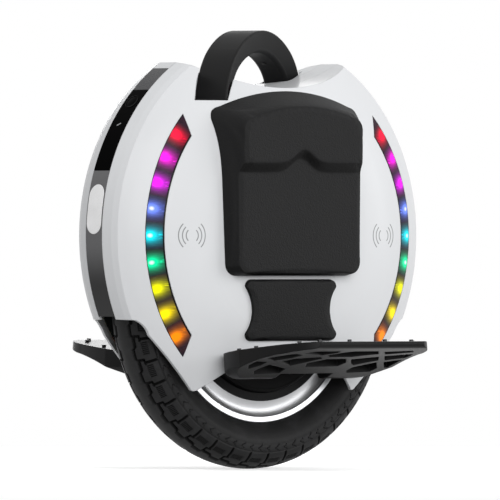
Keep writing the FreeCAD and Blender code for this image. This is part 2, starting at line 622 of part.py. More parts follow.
node(cut(spine, cylinder("button_radius + 2", 20, over_floor(10), UP)), "top_spine")
node(cut(cylinder("button_radius + 1.9", 7, over_floor(6.6), UP),
         cylinder("button_radius + 0.3", 20, over_floor(5), UP)), "button_bezel")
node(cylinder("button_radius", 3.6, over_floor(2.6), UP), "power_button")

# Side pads
def pad_outline(low_half, top_half, base, corner):
    """Pad outline with round corners and a bowed top."""
    return [("14 - " + low_half, base), (low_half + " - 14", base, 14), (low_half, base + " + 14"),
            (top_half, corner + " - 16", 16), (top_half + " - 14", corner + " + 2", "pad_bow"),
            ("14 - " + top_half, corner + " + 2", 16), ("-" + top_half, corner + " - 16"),
            ("-" + low_half, base + " + 14", 14)]


upper = body(HUB)
loft(upper,
     draw(upper, "YZ_Plane", pad_outline("(pad_half_low + 14)", "(pad_half_top + 27)", low("pad_low - 2"),
                                         low("pad_corner + 7.5")), lift="shell_half - 22.4"),
     draw(upper, "YZ_Plane", pad_outline("pad_half_low", "pad_half_top", low("pad_low + 2"),
                                         low("pad_corner - 4")), lift="pad_face"))


def step_outline(half, rise, corner):
    """Upper field of the pad, over a step with a soft peak in its middle."""
    z = low("step_low + %s" % rise)
    brow = z + " + step_peak * 0.617"
    wave = [("-(%s)" % half, z), (-34, z, 28.4), (-13, brow, -17.6), (13, brow, 28.4), (34, z)]
    return wave + [(half, z), (half, corner + " - 16", 16), (half + " - 14", corner + " + 2", "pad_bow"),
                   ("14 - (%s)" % half, corner + " + 2", 16), ("-(%s)" % half, corner + " - 16")]


loft(upper,
     draw(upper, "YZ_Plane", step_outline("pad_half_top - 0.5", 0, low("pad_corner - 4.5")),
          lift="pad_face - 1"),
     draw(upper, "YZ_Plane", step_outline("pad_half_top - 3", "step_rise", low("pad_corner - 8")),
          lift="pad_proud"))
trim_inside(upper, "(-0.05)")
node(upper, "upper_pad_left")
half_turn(upper, "upper_pad_right")

KNEE_LAYERS = ((0, "shell_half - 9.4"), (2.5, "knee_face"))
knee = body(HUB)
loft(knee, *[draw(knee, "YZ_Plane", [
    ("%s + 8 - knee_half" % e, low("knee_low + %s" % e)),
    ("knee_half - 8 - %s" % e, low("knee_low + %s" % e), 8),
    ("knee_half - %s" % e, low("knee_low + 8 + %s" % e), "-knee_bow"),
    ("knee_half - %s" % e, low("knee_top - 8 - %s" % e), 8),
    ("knee_half - 8 - %s" % e, low("knee_top - %s" % e)),
    ("%s + 8 - knee_half" % e, low("knee_top - %s" % e), 8),
    ("%s - knee_half" % e, low("knee_top - 8 - %s" % e), "-knee_bow"),
    ("%s - knee_half" % e, low("knee_low + 8 + %s" % e), 8)], lift=x) for e, x in KNEE_LAYERS])
trim_inside(knee, "(-0.05)")
node(knee, "lower_pad_left")
half_turn(knee, "lower_pad_right")

# Handle
grip = body((0, 0, 0), Turn(V(0, 0, -1), 90 - SIZES["handle_yaw"]))
bind(grip, **{".Placement.Rotation.Angle": "90 - handle_yaw"})
TOP_ROUND = "(((arch_half - arch_side)^2 + arch_rise^2 - arch_side^2) / (2 * (arch_rise - arch_side)))"
TOP_LOW = "(arch_spring + arch_rise - %s)" % TOP_ROUND
REACH = "(%s - arch_side)" % TOP_ROUND
MEET_X = "%s * (arch_half - arch_side) / %s" % (TOP_ROUND, REACH)
MEET_Z = "%s + %s * (arch_spring - %s) / %s" % (TOP_LOW, TOP_ROUND, TOP_LOW, REACH)
path = draw(grip, "XZ_Plane", [
    ("arch_half", "arch_spring", "arch_side"), (MEET_X, MEET_Z, TOP_ROUND),
    ("-" + MEET_X, MEET_Z, "arch_side"), ("-arch_half", "arch_spring")], closed=False)
outer_face = "arch_half + grip_thick / 2"
inner_face = "arch_half - grip_thick / 2"
section = draw(grip, "XY_Plane", [
    (outer_face, "2 - grip_outer / 2"), (outer_face, "grip_outer / 2 - 2", 2),
    (outer_face + " - 2", "grip_outer / 2"),
    (inner_face + " + 5", "grip_inner / 2 + 1", 5), (inner_face, "grip_inner / 2 - 5"),
    (inner_face, "5 - grip_inner / 2", 5), (inner_face + " + 5", "-grip_inner / 2 - 1"),
    (outer_face + " - 2", "-grip_outer / 2", 2)], lift="arch_spring")
arch = grip.newObject("PartDesign::AdditivePipe", "arch")
arch.Profile = section
arch.Spine = path
pocket(grip, draw(grip, "XZ_Plane", [
    (-140, "foot_height - 40"), (140, "foot_height - 40"), (140, "foot_height"), (-140, "foot_height")]),
    both=True)
UNDER_GRIP = "(%s - grip_thick / 2 + %s)"


def under_grip(depth):
    """Point on the small button's own line, a depth above the underside of the grip."""
    along = "-%s * sin(lift_angle)" % (UNDER_GRIP % (TOP_ROUND, depth))
    x, y = diagonal(along, "-2")
    return (x, y, "%s + %s * cos(lift_angle)" % (TOP_LOW, UNDER_GRIP % (TOP_ROUND, depth)))


lift_way = V(*[value(a) for a in under_grip(0)]) - V(*[value(a) for a in under_grip(5)])
node(cut(grip, cylinder("lift_radius + 0.25", 20, under_grip(6), lift_way)), "handle")
node(cylinder("lift_radius", 4.6, under_grip(4), lift_way), "lift_button")

rods = [box(("rod_thick", "rod_wide", "rod_length"), (
    "rod_x - rod_thick / 2", "-rod_y - rod_wide / 2", "foot_height - rod_length"))]
rods.append(group(rods[0]))
rods[1].Placement = FreeCAD.Placement(V(), Turn(V(0, 0, 1), 180))
node(group(*rods), "handle_rods")
GUIDE_LOW = "foot_height - rod_length - 2"
tube = cut(box(("rod_thick + 2 * guide_wall + 1", "rod_wide + 2 * guide_wall + 1", "rod_length - 2"), (
    "rod_x - rod_thick / 2 - guide_wall - 0.5", "-rod_y - rod_wide / 2 - guide_wall - 0.5", GUIDE_LOW)),
    box(("rod_thick + 1", "rod_wide + 1", "rod_length + 10"), (
        "rod_x - rod_thick / 2 - 0.5", "-rod_y - rod_wide / 2 - 0.5", GUIDE_LOW + " - 4")))
tube_twin = group(tube)
tube_twin.Placement = FreeCAD.Placement(V(), Turn(V(0, 0, 1), 180))
node(group(tube, tube_twin), "handle_guides")

# Pedals
pedal = body(("pin_x", 0, "pin_z"), Turn(V(0, -1, 0), SIZES["pedal_tilt"]))
bind(pedal, **{".Placement.Rotation.Angle": "pedal_tilt"})
pad(pedal, draw(pedal, "XZ_Plane", [
    ("-pedal_in", "pedal_top"), ("-pedal_in", -8, 6), (-7.5, -13.8), (3, -13.4, -262), (88, 4.1),
    ("pedal_out - 5", 6.5, 5), ("pedal_out", "pedal_top - 3", 3),
    ("pedal_out - 3", "pedal_top")]), 240, both=True)
end = [("-pedal_in", "-pedal_half + 15", 120), (30, "-pedal_half", 230), (78, "-pedal_half + 6", 62),
       ("pedal_out", "-pedal_end")]
rear_end = [("pedal_out", "pedal_end", 62), (78, "pedal_half - 6", 230), (30, "pedal_half", 120),
            ("-pedal_in", "pedal_half - 15")]
pocket(pedal, draw(pedal, "XY_Plane", [(-60, -160), (180, -160), (180, 160), (-60, 160)], end + rear_end,
                   lift=-60), 120, back=True)
WINDOWS = [
    [(62, -99), (52, -79), (64, -64), (79.5, -62), (89, -79), (77, -88)],
    [(91, -69), (77.5, -34), (93, -24), (103.4, -29), (102, -61.5)],
    [(75, -26), (67, -14), (67, 18), (83, 42), (102, 25.5), (102, -6.5), (96, -16)],
    [(98, 37), (80, 54), (95, 82), (104.5, 72)], [(70, 61.5), (51, 78), (61, 99), (72, 97.5), (82.5, 92)],
    [(44, 82.5), (26.5, 98), (26, 102.5), (42, 102.5), (54, 101)],
    [(36, -102), (26, -94), (36, -84), (48.5, -86), (50, -102)],
    [(48, -66), (34.5, -42), (45, -29.5), (60, -18), (67, -26.5), (60, -56)],
    [(41, -24), (30.5, -17.5), (32, 27), (42.5, 30), (58.5, 17), (57, -9)],
    [(55.5, 26.5), (39.5, 40), (34.5, 47), (51, 69), (67, 56)],
    [(18, 50), (13.5, 55.5), (16, 86.5), (25, 89), (44, 72.5), (28, 52)],
    [(18, -80.5), (12, -74.5), (13.5, -40.5), (25, -41), (38, -73.5), (28, -79)]]
pocket(pedal, draw(pedal, "XY_Plane", *WINDOWS, lift=-60), "60 + pedal_top - pedal_skin", back=True)
pocket(pedal, draw(pedal, "XY_Plane", [
    (-40, "-knuckle_half - 0.6"), ("knuckle_radius + 3.5", "-knuckle_half - 0.6"),
    ("knuckle_radius + 3.5", "knuckle_half + 0.6"), (-40, "knuckle_half + 0.6")], lift=-60), 120, back=True)
pocket(pedal, draw(pedal, "XZ_Plane", (0, 0, "pin_radius + 0.05")), "pin_length + 1", both=True)
END_YAW = math.degrees(math.atan2(15, SIZES["pedal_in"] + 30))
END_OUT = "((pedal_half - 15) * cos(%f) + pedal_in * sin(%f))" % (END_YAW, END_YAW)
heel = body(("pin_x", 0, "pin_z"), Turn(V(0, -1, 0), SIZES["pedal_tilt"]) * Turn(V(0, 0, -1), END_YAW))
pad(heel, draw(heel, "YZ_Plane", [
    ("18 - %s" % END_OUT, -14, -24), ("-%s" % END_OUT, -6, -24), ("-%s - 6" % END_OUT, 8),
    ("-%s - 30" % END_OUT, 8), ("-%s - 30" % END_OUT, -40), ("18 - %s" % END_OUT, -40)], lift=5), 80)
pedal = node(cut(pedal, fuse(heel, mirror(heel, (0, 1, 0)))), "pedal_left")
half_turn(pedal, "pedal_right")
STUDS = [(18, -98), (46, -98), (96, -80), (113, -66), (114, -25), (110, 66), (18, 98), (46, 98), (96, 80),
         (114, 25)]
LIFT = "(pedal_top + 0.02)"
studs = []
for x, y in STUDS:
    stud = doc.addObject("Part::Prism", "stud")
    bind(stud, Circumradius="stud_radius", Height="stud_height")
    studs.append(place(stud, (
        "pin_x + %d * cos(pedal_tilt) - %s * sin(pedal_tilt)" % (x, LIFT), y,
        "pin_z + %d * sin(pedal_tilt) + %s * cos(pedal_tilt)" % (x, LIFT)),
        Turn(V(0, -1, 0), SIZES["pedal_tilt"])))
    bind(stud, **{".Placement.Rotation.Angle": "pedal_tilt"})
studs = node(group(*studs), "pedal_studs_left")
half_turn(studs, "pedal_studs_right")
pin = cylinder("pin_radius", "pin_length", ("pin_x", "-pin_length / 2", "pin_z"), (0, 1, 0))
node(pin, "pedal_pin_left")
half_turn(pin, "pedal_pin_right")

hanger = body()
HANGER_OUT = "hanger_face + hanger_wall"
pad(hanger, draw(hanger, "XZ_Plane", [
    ("hanger_face", "hanger_top"), (HANGER_OUT, "hanger_top"), (HANGER_OUT, "skirt_height + 15"),
    (HANGER_OUT + " + 6", "skirt_height - 3.5"),
    ("pin_x - 6", "pin_z + sqrt(knuckle_radius^2 - 36)", "-knuckle_radius"),
    ("pin_x + knuckle_radius", "pin_z", "-knuckle_radius"),
    ("pin_x - 4", "pin_z - sqrt(knuckle_radius^2 - 16)"),
    ("pin_x - 20", "pin_z - 4"), ("hanger_face", "skirt_height - 7")]), "2 * knuckle_half", both=True)
sides = [[("%d * 22" % s, "hanger_top + 10"), ("%d * 22" % s, "skirt_height + 35"),
          ("%d * knuckle_half + %d" % (s, 2 * s), "skirt_height + 8"), ("%d * knuckle_half + %d" % (s, 2 * s),
          "hanger_top + 10")] for s in (-1, 1)]
pocket(hanger, draw(hanger, "YZ_Plane", *sides), both=True)
pad(hanger, draw(hanger, "YZ_Plane", [
    (-20, "hanger_top - 22"), (20, "hanger_top - 22"), (20, "hanger_top"), (-20, "hanger_top")],
    lift="liner_half + liner_wall + 0.2"), "hanger_face - liner_half - liner_wall")
pocket(hanger, draw(hanger, "YZ_Plane", (0, "tyre_radius", "axle_thin + 0.05")), both=True)
pocket(hanger, draw(hanger, "XZ_Plane", ("pin_x", "pin_z", "pin_radius + 0.05")), both=True)
node(hanger, "hanger_left")
half_turn(hanger, "hanger_right")

# Inside
liner = body(AXLE)
well = spin(liner, draw(liner, "XZ_Plane", [
    ("-liner_half - liner_wall", "liner_hole"), ("-liner_half", "liner_hole"),
    ("-liner_half", "liner_radius"),
    ("liner_half", "liner_radius"), ("liner_half", "liner_hole"), ("liner_half + liner_wall", "liner_hole"),
    ("liner_half + liner_wall", "liner_radius + liner_wall"),
    ("-liner_half - liner_wall", "liner_radius + liner_wall")]), angle="liner_sweep")
well.Midplane = True
posts = []
for y, z in ((140, 290), (120, 205)):
    for side in (-1, 1):
        post = cylinder("post_radius", "shell_half", ("liner_half + 1", side * y, z), (1, 0, 0))
        posts += [post, mirror(post, (1, 0, 0))]
hollow = body(HUB)
DEEP = "(shell_wall + 0.2)"
edge = "edge_radius - %s" % DEEP
hollow_half = [(dome(edge, DEEP), edge, "-(shell_round - %s)" % DEEP),
               ("shell_half - %s" % DEEP, "flat_radius")]
spin(hollow, draw(hollow, "XZ_Plane", [
    ("-(%s)" % hollow_half[0][0], edge), *hollow_half, ("shell_half - %s" % DEEP, 0),
    ("%s - shell_half" % DEEP, 0),
    ("%s - shell_half" % DEEP, "flat_radius", "-(shell_round - %s)" % DEEP)]))
inside = doc.addObject("Part::MultiCommon", "inside")
inside.Shapes = [fuse(liner, *posts), hollow]
node(inside, "wheel_arch_liner")

SIDE = "liner_half + liner_wall + 0.3"
pack = node(box(("pack_depth", "pack_length", "pack_height"), (SIDE, 28, 235)), "battery_left")
half_turn(pack, "battery_right")
node(box((1.6, 36, 110), (SIDE, -62, 235)), "control_board")
plate = box((3, 34, 100), (SIDE + " + 1.7", -61, 240))
fins = [box((12, 2, 100), (SIDE + " + 4.7", -61 + 6.4 * k, 240)) for k in range(6)]
node(fuse(plate, *fins), "heat_sink")
speaker = cylinder("speaker_radius", 14, ("shell_half - 23", "speaker_y", "shell_height"), (1, 0, 0))
speakers = [speaker, mirror(speaker, (0, 1, 0))]
node(group(*speakers, *[mirror(one, (1, 0, 0)) for one in speakers]), "speakers")

doc.recompute()
for thing in doc.Objects:
    if "Invalid" in thing.State or "Error" in thing.State:
        raise RuntimeError("%s (%s) did not build" % (thing.Name, thing.Label))
for thing in NODES:
    if thing.Shape.isNull() or not thing.Shape.isValid():
        raise RuntimeError("%s has no valid shape" % thing.Label)
    thing.Shape.exportStep("parts/%s.step" % thing.Label)
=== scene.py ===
import math

import bmesh
import bpy
import numpy as np
from mathutils import Matrix, Vector


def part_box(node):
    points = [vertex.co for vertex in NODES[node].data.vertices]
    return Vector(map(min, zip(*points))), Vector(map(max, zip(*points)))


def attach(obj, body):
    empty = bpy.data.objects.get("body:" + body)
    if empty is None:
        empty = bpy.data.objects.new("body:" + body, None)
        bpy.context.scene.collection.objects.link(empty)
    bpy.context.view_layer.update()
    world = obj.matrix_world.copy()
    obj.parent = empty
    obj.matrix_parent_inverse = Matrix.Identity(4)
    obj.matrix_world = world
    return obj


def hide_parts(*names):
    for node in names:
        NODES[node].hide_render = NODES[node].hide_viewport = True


bl_info = {
    "name": "Electric Unicycle",
    "version": (1, 0, 0),
    "blender": (4, 5, 0),
    "location": "View3D > Sidebar > Unicycle",
    "description": "Dresses the packed frame of an electric unicycle",
    "category": "Object",
}

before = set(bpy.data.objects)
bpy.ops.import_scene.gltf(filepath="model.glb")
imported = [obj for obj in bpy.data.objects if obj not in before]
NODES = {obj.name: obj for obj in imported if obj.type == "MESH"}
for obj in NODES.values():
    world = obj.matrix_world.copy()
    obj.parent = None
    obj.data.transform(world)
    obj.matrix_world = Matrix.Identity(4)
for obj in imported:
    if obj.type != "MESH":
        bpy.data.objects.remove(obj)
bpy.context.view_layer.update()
AXLE = (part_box("tyre")[0].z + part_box("tyre")[1].z) / 2
HUB = (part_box("light_lens_front_left")[0].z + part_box("light_lens_front_left")[1].z) / 2
TYRE_RADIUS = (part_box("tyre")[1].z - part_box("tyre")[0].z) / 2
EDGE_RADIUS = -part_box("front_strip")[0].y
HALF_TURN = Matrix.Rotation(math.pi, 4, "Z")

# The CAD shell's side: half its width, radius and reach of its rounding, and radius of its flat middle
SHELL_HALF, SHELL_ROUND, ROUND_REACH, FLAT_RADIUS = 0.0674, 0.164, 0.16, 0.110
# The hollow for the hand in the shell's top
SCOOP_FLOOR, SCOOP_RADIUS = 0.4097, 0.255
# Clear distance of what lies on the shell
SKIN = 0.0001
# Distances of the sound signs and of the lamps from the middle of the shell
SIGN_OUT, LAMP_RADIUS = 0.1356, 0.1822


def length(name, words, metres):
    return bpy.props.FloatProperty(name=name, description=words, default=metres, unit="LENGTH")


def angle(name, words, degrees):
    return bpy.props.FloatProperty(
        name=name, description=words, default=math.radians(degrees), unit="ROTATION")


def colour(name, words, rgb):
    return bpy.props.FloatVectorProperty(
        name=name, description=words, default=rgb, subtype="COLOR", size=3, min=0, max=1)


class UnicycleSizes(bpy.types.PropertyGroup):
    """Sizes of what is added to the frame."""

    blocks: bpy.props.IntProperty(
        name="Tread blocks", description="Shoulder blocks round the tyre", default=42)
    sipes: bpy.props.IntProperty(
        name="Sipes", description="Short cuts in each shoulder block", default=7)
    groove: length("Groove depth", "Depth of the tread's main grooves", 0.0034)
    pad_grain: length("Pad grain", "Mesh size of the foam pads", 0.0018)
    pad_swell: length("Pad swell", "Most that a pad's cover may move out", 0.0007)
    step_height: length("Pad step", "Height of the step's lower edge in the middle of its wings", 0.319)
    step_peak: length("Step peak", "Rise of the step in the pad's middle", 0.015)
    sign_ring: length("Sound sign", "Radius of the largest arc of the sound sign", 0.0165)
    handle_turn: angle("Handle turn", "Way round of the handle's front leg from the front", 25)
    headlight: length("Headlight", "Radius of the headlight's glass", 0.0085)
    photo_width: length("View width", "Width of the picture at the wheel", 0.5388)
    lens: bpy.props.FloatProperty(
        name="Lens", description="Focal length in millimetres", default=1000.0)
    azimuth: angle("Azimuth", "Way round to the camera from the front", 49.4)


class UnicycleColours(bpy.types.PropertyGroup):
    """Colours of the finishes."""

    shell: colour("Shell", "Pearl white of the two shells", (0.66, 0.67, 0.685))
    ink: colour("Ink", "Grey print of the sound signs", (0.24, 0.245, 0.25))
    rubber: colour("Rubber", "Tyre rubber", (0.0115, 0.0115, 0.012))
    leather: colour("Leather", "Cover of the side pads", (0.008, 0.008, 0.0083))
    grip: colour("Grip", "Soft-touch plastic of the handle", (0.0048, 0.0048, 0.005))
    pedal: colour("Pedal", "Powder coat of the pedals", (0.0042, 0.0042, 0.0044))
    metal: colour("Metal", "Polished rim", (0.82, 0.83, 0.85))
    window: colour("Window", "Black gloss of the lamp windows", (0.0006, 0.0006, 0.0007))
    trim: colour("Trim", "Dark grey edge trim", (0.12, 0.12, 0.124))
    smoke: colour("Smoke", "Smoked light lenses", (0.03, 0.019, 0.032))
    liner: colour("Liner", "Inner wall over the wheel", (0.5, 0.51, 0.52))


class Flow:
    """A socket of a node tree that takes part in Python expressions."""

    def __init__(self, nodes, socket):
        self.nodes = nodes
        self.socket = socket

    def math(self, operation, *others):
        return self.nodes.node("Math", {"operation": operation}, [self, *others])

    def __add__(self, other):
        return self.math("ADD", other)

    def __sub__(self, other):
        return self.math("SUBTRACT", other)

    def __rsub__(self, other):
        return self.nodes.node("Math", {"operation": "SUBTRACT"}, [other, self])

    def __mul__(self, other):
        return self.math("MULTIPLY", other)

    def __truediv__(self, other):
        return self.math("DIVIDE", other)

    def __abs__(self):
        return self.math("ABSOLUTE")

    __radd__ = __add__
    __rmul__ = __mul__

    def least(self, other):
        return self.math("MINIMUM", other)

    def most(self, other):
        return self.math("MAXIMUM", other)

    def root(self):
        return self.math("SQRT")

    def bell(self):
        """Falls from 1 where this is 0, for a squared distance."""
        return (self * -1).math("EXPONENT")

    def step(self, low, high):
        """Smooth rise from 0 at low to 1 at high."""
        return self.nodes.node("MapRange", {"interpolation_type": "SMOOTHSTEP"}, [self, low, high])


class Nodes:
    """A node tree whose nodes are all made by one method."""

    def __init__(self, owner):
        owner.use_nodes = True
        self.tree = owner.node_tree
        self.tree.nodes.clear()

    def node(self, kind, settings=None, inputs=(), output=0):
        made = self.tree.nodes.new("ShaderNode" + kind)
        for name, setting in (settings or {}).items():
            if name == "stops":
                self.stops(made.color_ramp, setting)
            else:
                setattr(made, name, setting)
        for key, given in inputs.items() if isinstance(inputs, dict) else enumerate(inputs):
            self.feed(made.inputs[key], given)
        return Flow(self, made.outputs[output] if len(made.outputs) else None)

    def stops(self, ramp, colours):
        """Even bands of colour along a ramp."""
        ramp.interpolation = "CONSTANT"
        for count, rgb in enumerate(colours):
            stop = ramp.elements[count] if count < 2 else ramp.elements.new(1.0)
            stop.position = count / len(colours)
            stop.color = (*rgb, 1.0)

    def seen(self):
        """1 for what is seen straight, mirrored or through glass, and 0 for what only lights."""
        rays = self.node("LightPath").socket.node.outputs
        straight, mirrored, through = [Flow(self, rays["Is %s Ray" % kind]) for kind in (
            "Camera", "Glossy", "Transmission")]
        return straight.most(mirrored).most(through)

    def feed(self, socket, given):
        if isinstance(given, Flow):
            self.tree.links.new(given.socket, socket)
        elif socket.type == "RGBA":
            socket.default_value = (*given, 1.0)
        else:
            socket.default_value = given


class Paint(Nodes):
    """A procedural material on one principled shader."""

    def __init__(self, name, values=None):
        self.material = bpy.data.materials.new(name)
        super().__init__(self.material)
        shader = self.node("BsdfPrincipled")
        self.shader = shader.socket.node
        self.node("OutputMaterial", {}, {"Surface": shader})
        for socket, number in (values or {}).items():
            self.set(socket, number)
        self.place = self.node("TexCoord", {}, {}, "Object")

    def set(self, socket, given):
        self.feed(self.shader.inputs[socket], given)

    def parts(self, vector):
        split = self.node("SeparateXYZ", {}, [vector])
        return [Flow(self, out) for out in split.socket.node.outputs]

    def axes(self):
        return self.parts(self.place)

    def facing(self):
        """The surface's own direction at rest, as three numbers."""
        normal = self.node("NewGeometry", {}, {}, "Normal")
        return self.parts(self.node("VectorTransform", {
            "vector_type": "NORMAL", "convert_from": "WORLD", "convert_to": "OBJECT"}, [normal]))

    def noise(self, scale, detail=2.0, stretch=None):
        vector = self.place
        if stretch:
            vector = self.node("VectorMath", {"operation": "MULTIPLY"}, [self.place, stretch])
        return self.node("TexNoise", {}, {"Vector": vector, "Scale": scale, "Detail": detail})

    def cells(self, scale):
        return self.node("TexVoronoi", {"feature": "SMOOTH_F1"}, {"Vector": self.place, "Scale": scale})

    def mix(self, factor, first, second):
        return self.node("Mix", {"data_type": "RGBA"}, {0: factor, 6: first, 7: second}, 2)

    def shade(self, rgb, mask, darkest=0.8, lightest=1.2):
        """A colour that wanders between two brightnesses of itself."""
        dark = [c * darkest for c in rgb]
        light = [min(c * lightest, 1.0) for c in rgb]
        return self.mix(mask, dark, light)

    def bump(self, height, distance, strength=1.0, edge=0.0):
        """Fine relief, on edges softened to a radius."""
        sockets = {"Strength": strength, "Distance": distance, "Height": height}
        if edge:
            sockets["Normal"] = self.node("Bevel", {"samples": 6}, {"Radius": edge})
        return self.node("Bump", {}, sockets, "Normal")

    def polar(self, height):
        """Radius about a line along X at a height, with the two offsets it comes from."""
        _, y, z = self.axes()
        up = z - height
        return (y * y + up * up).root(), y, up


def coat(mesh, paint):
    mesh.materials.clear()
    mesh.materials.append(paint.material)


def wear(paint, *names):
    """Give CAD nodes a finish."""
    for name in names:
        coat(NODES[name].data, paint)


def piece(name, mesh, body, paint):
    """A new object that rides on a body and wears a finish."""
    made = bpy.data.objects.new(name, mesh)
    bpy.context.scene.collection.objects.link(made)
    coat(mesh, paint)
    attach(made, body)
    return made


def both_sides(stem):
    return stem + "_left", stem + "_right"


def turned_pair(stem, mesh):
    """Names of a left and a right piece with their meshes, the right one turned half a turn."""
    for name, turn in zip(both_sides(stem), (Matrix(), HALF_TURN)):
        copy = mesh.copy()
        copy.transform(turn)
        yield name, copy


def grid_mesh(name, corners, wrap_rows=False, wrap_columns=True):
    """Quad mesh over a grid of points (columns, rows, 3) that closes on itself either way or not."""
    columns, rows, _ = corners.shape
    mesh = bpy.data.meshes.new(name)
    index = np.arange(columns * rows).reshape(columns, rows)
    if wrap_columns:
        index = np.concatenate([index, index[:1]])
    if wrap_rows:
        index = np.concatenate([index, index[:, :1]], axis=1)
    quads = np.stack([index[:-1, :-1], index[1:, :-1], index[1:, 1:], index[:-1, 1:]], axis=-1)
    mesh.from_pydata(corners.reshape(-1, 3).tolist(), [], quads.reshape(-1, 4).tolist())
    mesh.polygons.foreach_set("use_smooth", [True] * len(mesh.polygons))
    mesh.update()
    return mesh


def flank(spots):
    """How far out the shell stands at places on its side."""
    fall = np.clip(np.hypot(spots[..., 0], spots[..., 1] - HUB) - FLAT_RADIUS, 0, ROUND_REACH)
    return SHELL_HALF - SHELL_ROUND + np.sqrt(SHELL_ROUND ** 2 - fall ** 2) + SKIN


def bow(start, end, radius, count):
    """Points on an arc from start to end, which bulges to the left, or to the right for a negative radius."""
    a, b = np.array(start), np.array(end)
    half = np.linalg.norm(b - a) / 2
    side = np.array([b[1] - a[1], a[0] - b[0]]) / (2 * half) * math.copysign(1, radius)
    centre = (a + b) / 2 + side * math.sqrt(max(radius ** 2 - half ** 2, 0))
    first, last = [math.atan2(p[1] - centre[1], p[0] - centre[0]) for p in (a, b)]
    sweep = (last - first + math.pi) % (2 * math.pi) - math.pi
    angles = first + sweep * np.linspace(0, 1, count)
    return centre + abs(radius) * np.stack([np.cos(angles), np.sin(angles)], axis=1)


def evenly(path, count):
    """Points at even steps along a path."""
    run = np.concatenate([[0], np.cumsum(np.linalg.norm(np.diff(path, axis=0), axis=1))])
    spots = np.linspace(0, run[-1], count + 1)
    return np.stack([np.interp(spots, run, path[:, k]) for k in (0, 1)], axis=1)


# Finishes


def moulded(name, rgb, roughness=0.45, grain=2200, depth=0.00003, specular=0.2, edge=0.001):
    """Fine-grained moulded plastic."""
    paint = Paint(name, {"Specular IOR Level": specular})
    cloud = paint.noise(28, 3)
    paint.set("Base Color", paint.shade(rgb, cloud.step(0.3, 0.7), 0.88, 1.12))
    paint.set("Roughness", roughness - 0.06 + cloud * 0.12)
    paint.set("Normal", paint.bump(paint.noise(grain, 2), depth, 1.0, edge))
    return paint


def machined(name, rgb, roughness=0.3, ridges=(900, 40, 40)):
    """Metal with fine marks of the tool along one way."""
    paint = Paint(name, {"Metallic": 1.0})
    marks = paint.noise(1, 2, ridges)
    paint.set("Base Color", paint.shade(rgb, marks, 0.85, 1.1))
    paint.set("Roughness", roughness - 0.08 + marks * 0.16)
    paint.set("Normal", paint.bump(marks, 0.00002))
    return paint


def glossy(name, rgb, roughness=0.08, specular=0.12):
    """Smooth gloss plastic with the faint waviness of a moulding."""
    paint = Paint(name, {"Specular IOR Level": specular})
    wave = paint.noise(60, 1)
    paint.set("Base Color", paint.shade(rgb, wave, 0.9, 1.1))
    paint.set("Roughness", roughness + paint.noise(900, 2) * 0.05)
    paint.set("Normal", paint.bump(wave, 0.00004, 1.0, 0.0006))
    return paint


def pearl_shell(sizes, colours):
    """White shell with the printed sound signs on its flanks."""
    paint = Paint("pearl_shell", {"Coat Roughness": 0.1, "Specular IOR Level": 0.16})
    _, y, z = paint.axes()
    out = abs(y) - SIGN_OUT
    up = z - HUB
    reach = (out * out + up * up).root()
    ring = abs(reach - sizes.sign_ring)
    for share in (0.72, 0.45):
        ring = ring.least(abs(reach - sizes.sign_ring * share))
    line = ring.step(0.0007, 0.0005)
    wedge = (abs(out) * 1.15 - abs(up)).step(-0.0002, 0.0002)
    cloud = paint.noise(9, 2)
    body = paint.shade(colours.shell, cloud, 0.985, 1.015)
    paint.set("Base Color", paint.mix(line * wedge, body, colours.ink))
    paint.set("Roughness", 0.3 + cloud * 0.06)
    paint.set("Coat Weight", 0.02 + cloud * 0.06)
    paint.set("Normal", paint.bump(paint.noise(30, 1), 0.00002, 1.0, 0.0012))
    return paint


def tyre_rubber(colours):
    """Black rubber with painted shade in its grooves, and a little worn on its blocks."""
    paint = Paint("tyre_rubber", {"Specular IOR Level": 0.17})
    reach = paint.polar(AXLE)[0]
    dust = paint.noise(55, 4)
    # Depth of the cut, used for painted shade in the grooves and for their roughness
    deep = paint.node("Attribute", {"attribute_name": "groove"}, {}, "Fac")
    worn = paint.shade(colours.rubber, dust.step(0.4, 0.8), 0.8, 1.7)
    # Painted shade: near black wherever the tread is cut
    paint.set("Base Color", paint.mix(deep.step(0.0, 0.5), worn, (0.0015, 0.0015, 0.0015)))
    rings = ((reach * 2600).math("SINE") * 0.5 + 0.5) * reach.step(0.157, 0.150)
    paint.set("Roughness", 0.46 + dust * 0.2 + deep * 0.3)
    paint.set("Normal", paint.bump(paint.noise(1500, 3) * 0.6 + rings * 0.25, 0.00012))
    return paint


def polished_rim(colours):
    """Polished flange, and inside its fine dark line a channel with painted shade."""
    paint = Paint("polished_rim", {"Metallic": 1.0})
    reach = paint.polar(AXLE)[0]
    line = abs(reach - 0.1264).step(0.0008, 0.0004)
    haze = paint.noise(60, 2)
    flange = reach.step(0.1256, 0.1272)
    # Painted shade: the channel is a darker copy of the polished metal, with the same roughness
    satin = paint.shade([c * 0.55 for c in colours.metal], haze, 0.9, 1.1)
    polish = paint.shade(colours.metal, haze, 0.97, 1.02)
    metal = paint.mix(flange, satin, polish)
    paint.set("Base Color", paint.mix(line, metal, (0.2, 0.2, 0.21)))
    paint.set("Roughness", 0.3 + haze * 0.08 + line * 0.2)
    paint.set("Normal", paint.bump(haze, 0.00001, 1.0, 0.0012))
    return paint


def motor_cover():
    """Black cover with a satin grey ring round its edge."""
    paint = Paint("motor_cover", {"Specular IOR Level": 0.05})
    ring = paint.polar(AXLE)[0].step(0.1012, 0.1018)
    speck = paint.noise(900, 3)
    black = paint.shade((0.0012, 0.0012, 0.0013), speck)
    grey = paint.shade((0.014, 0.014, 0.0145), speck)
    paint.set("Base Color", paint.mix(ring, black, grey))
    paint.set("Roughness", 0.32 + ring * 0.12 + speck * 0.08)
    paint.set("Normal", paint.bump(speck, 0.00002))
    return paint


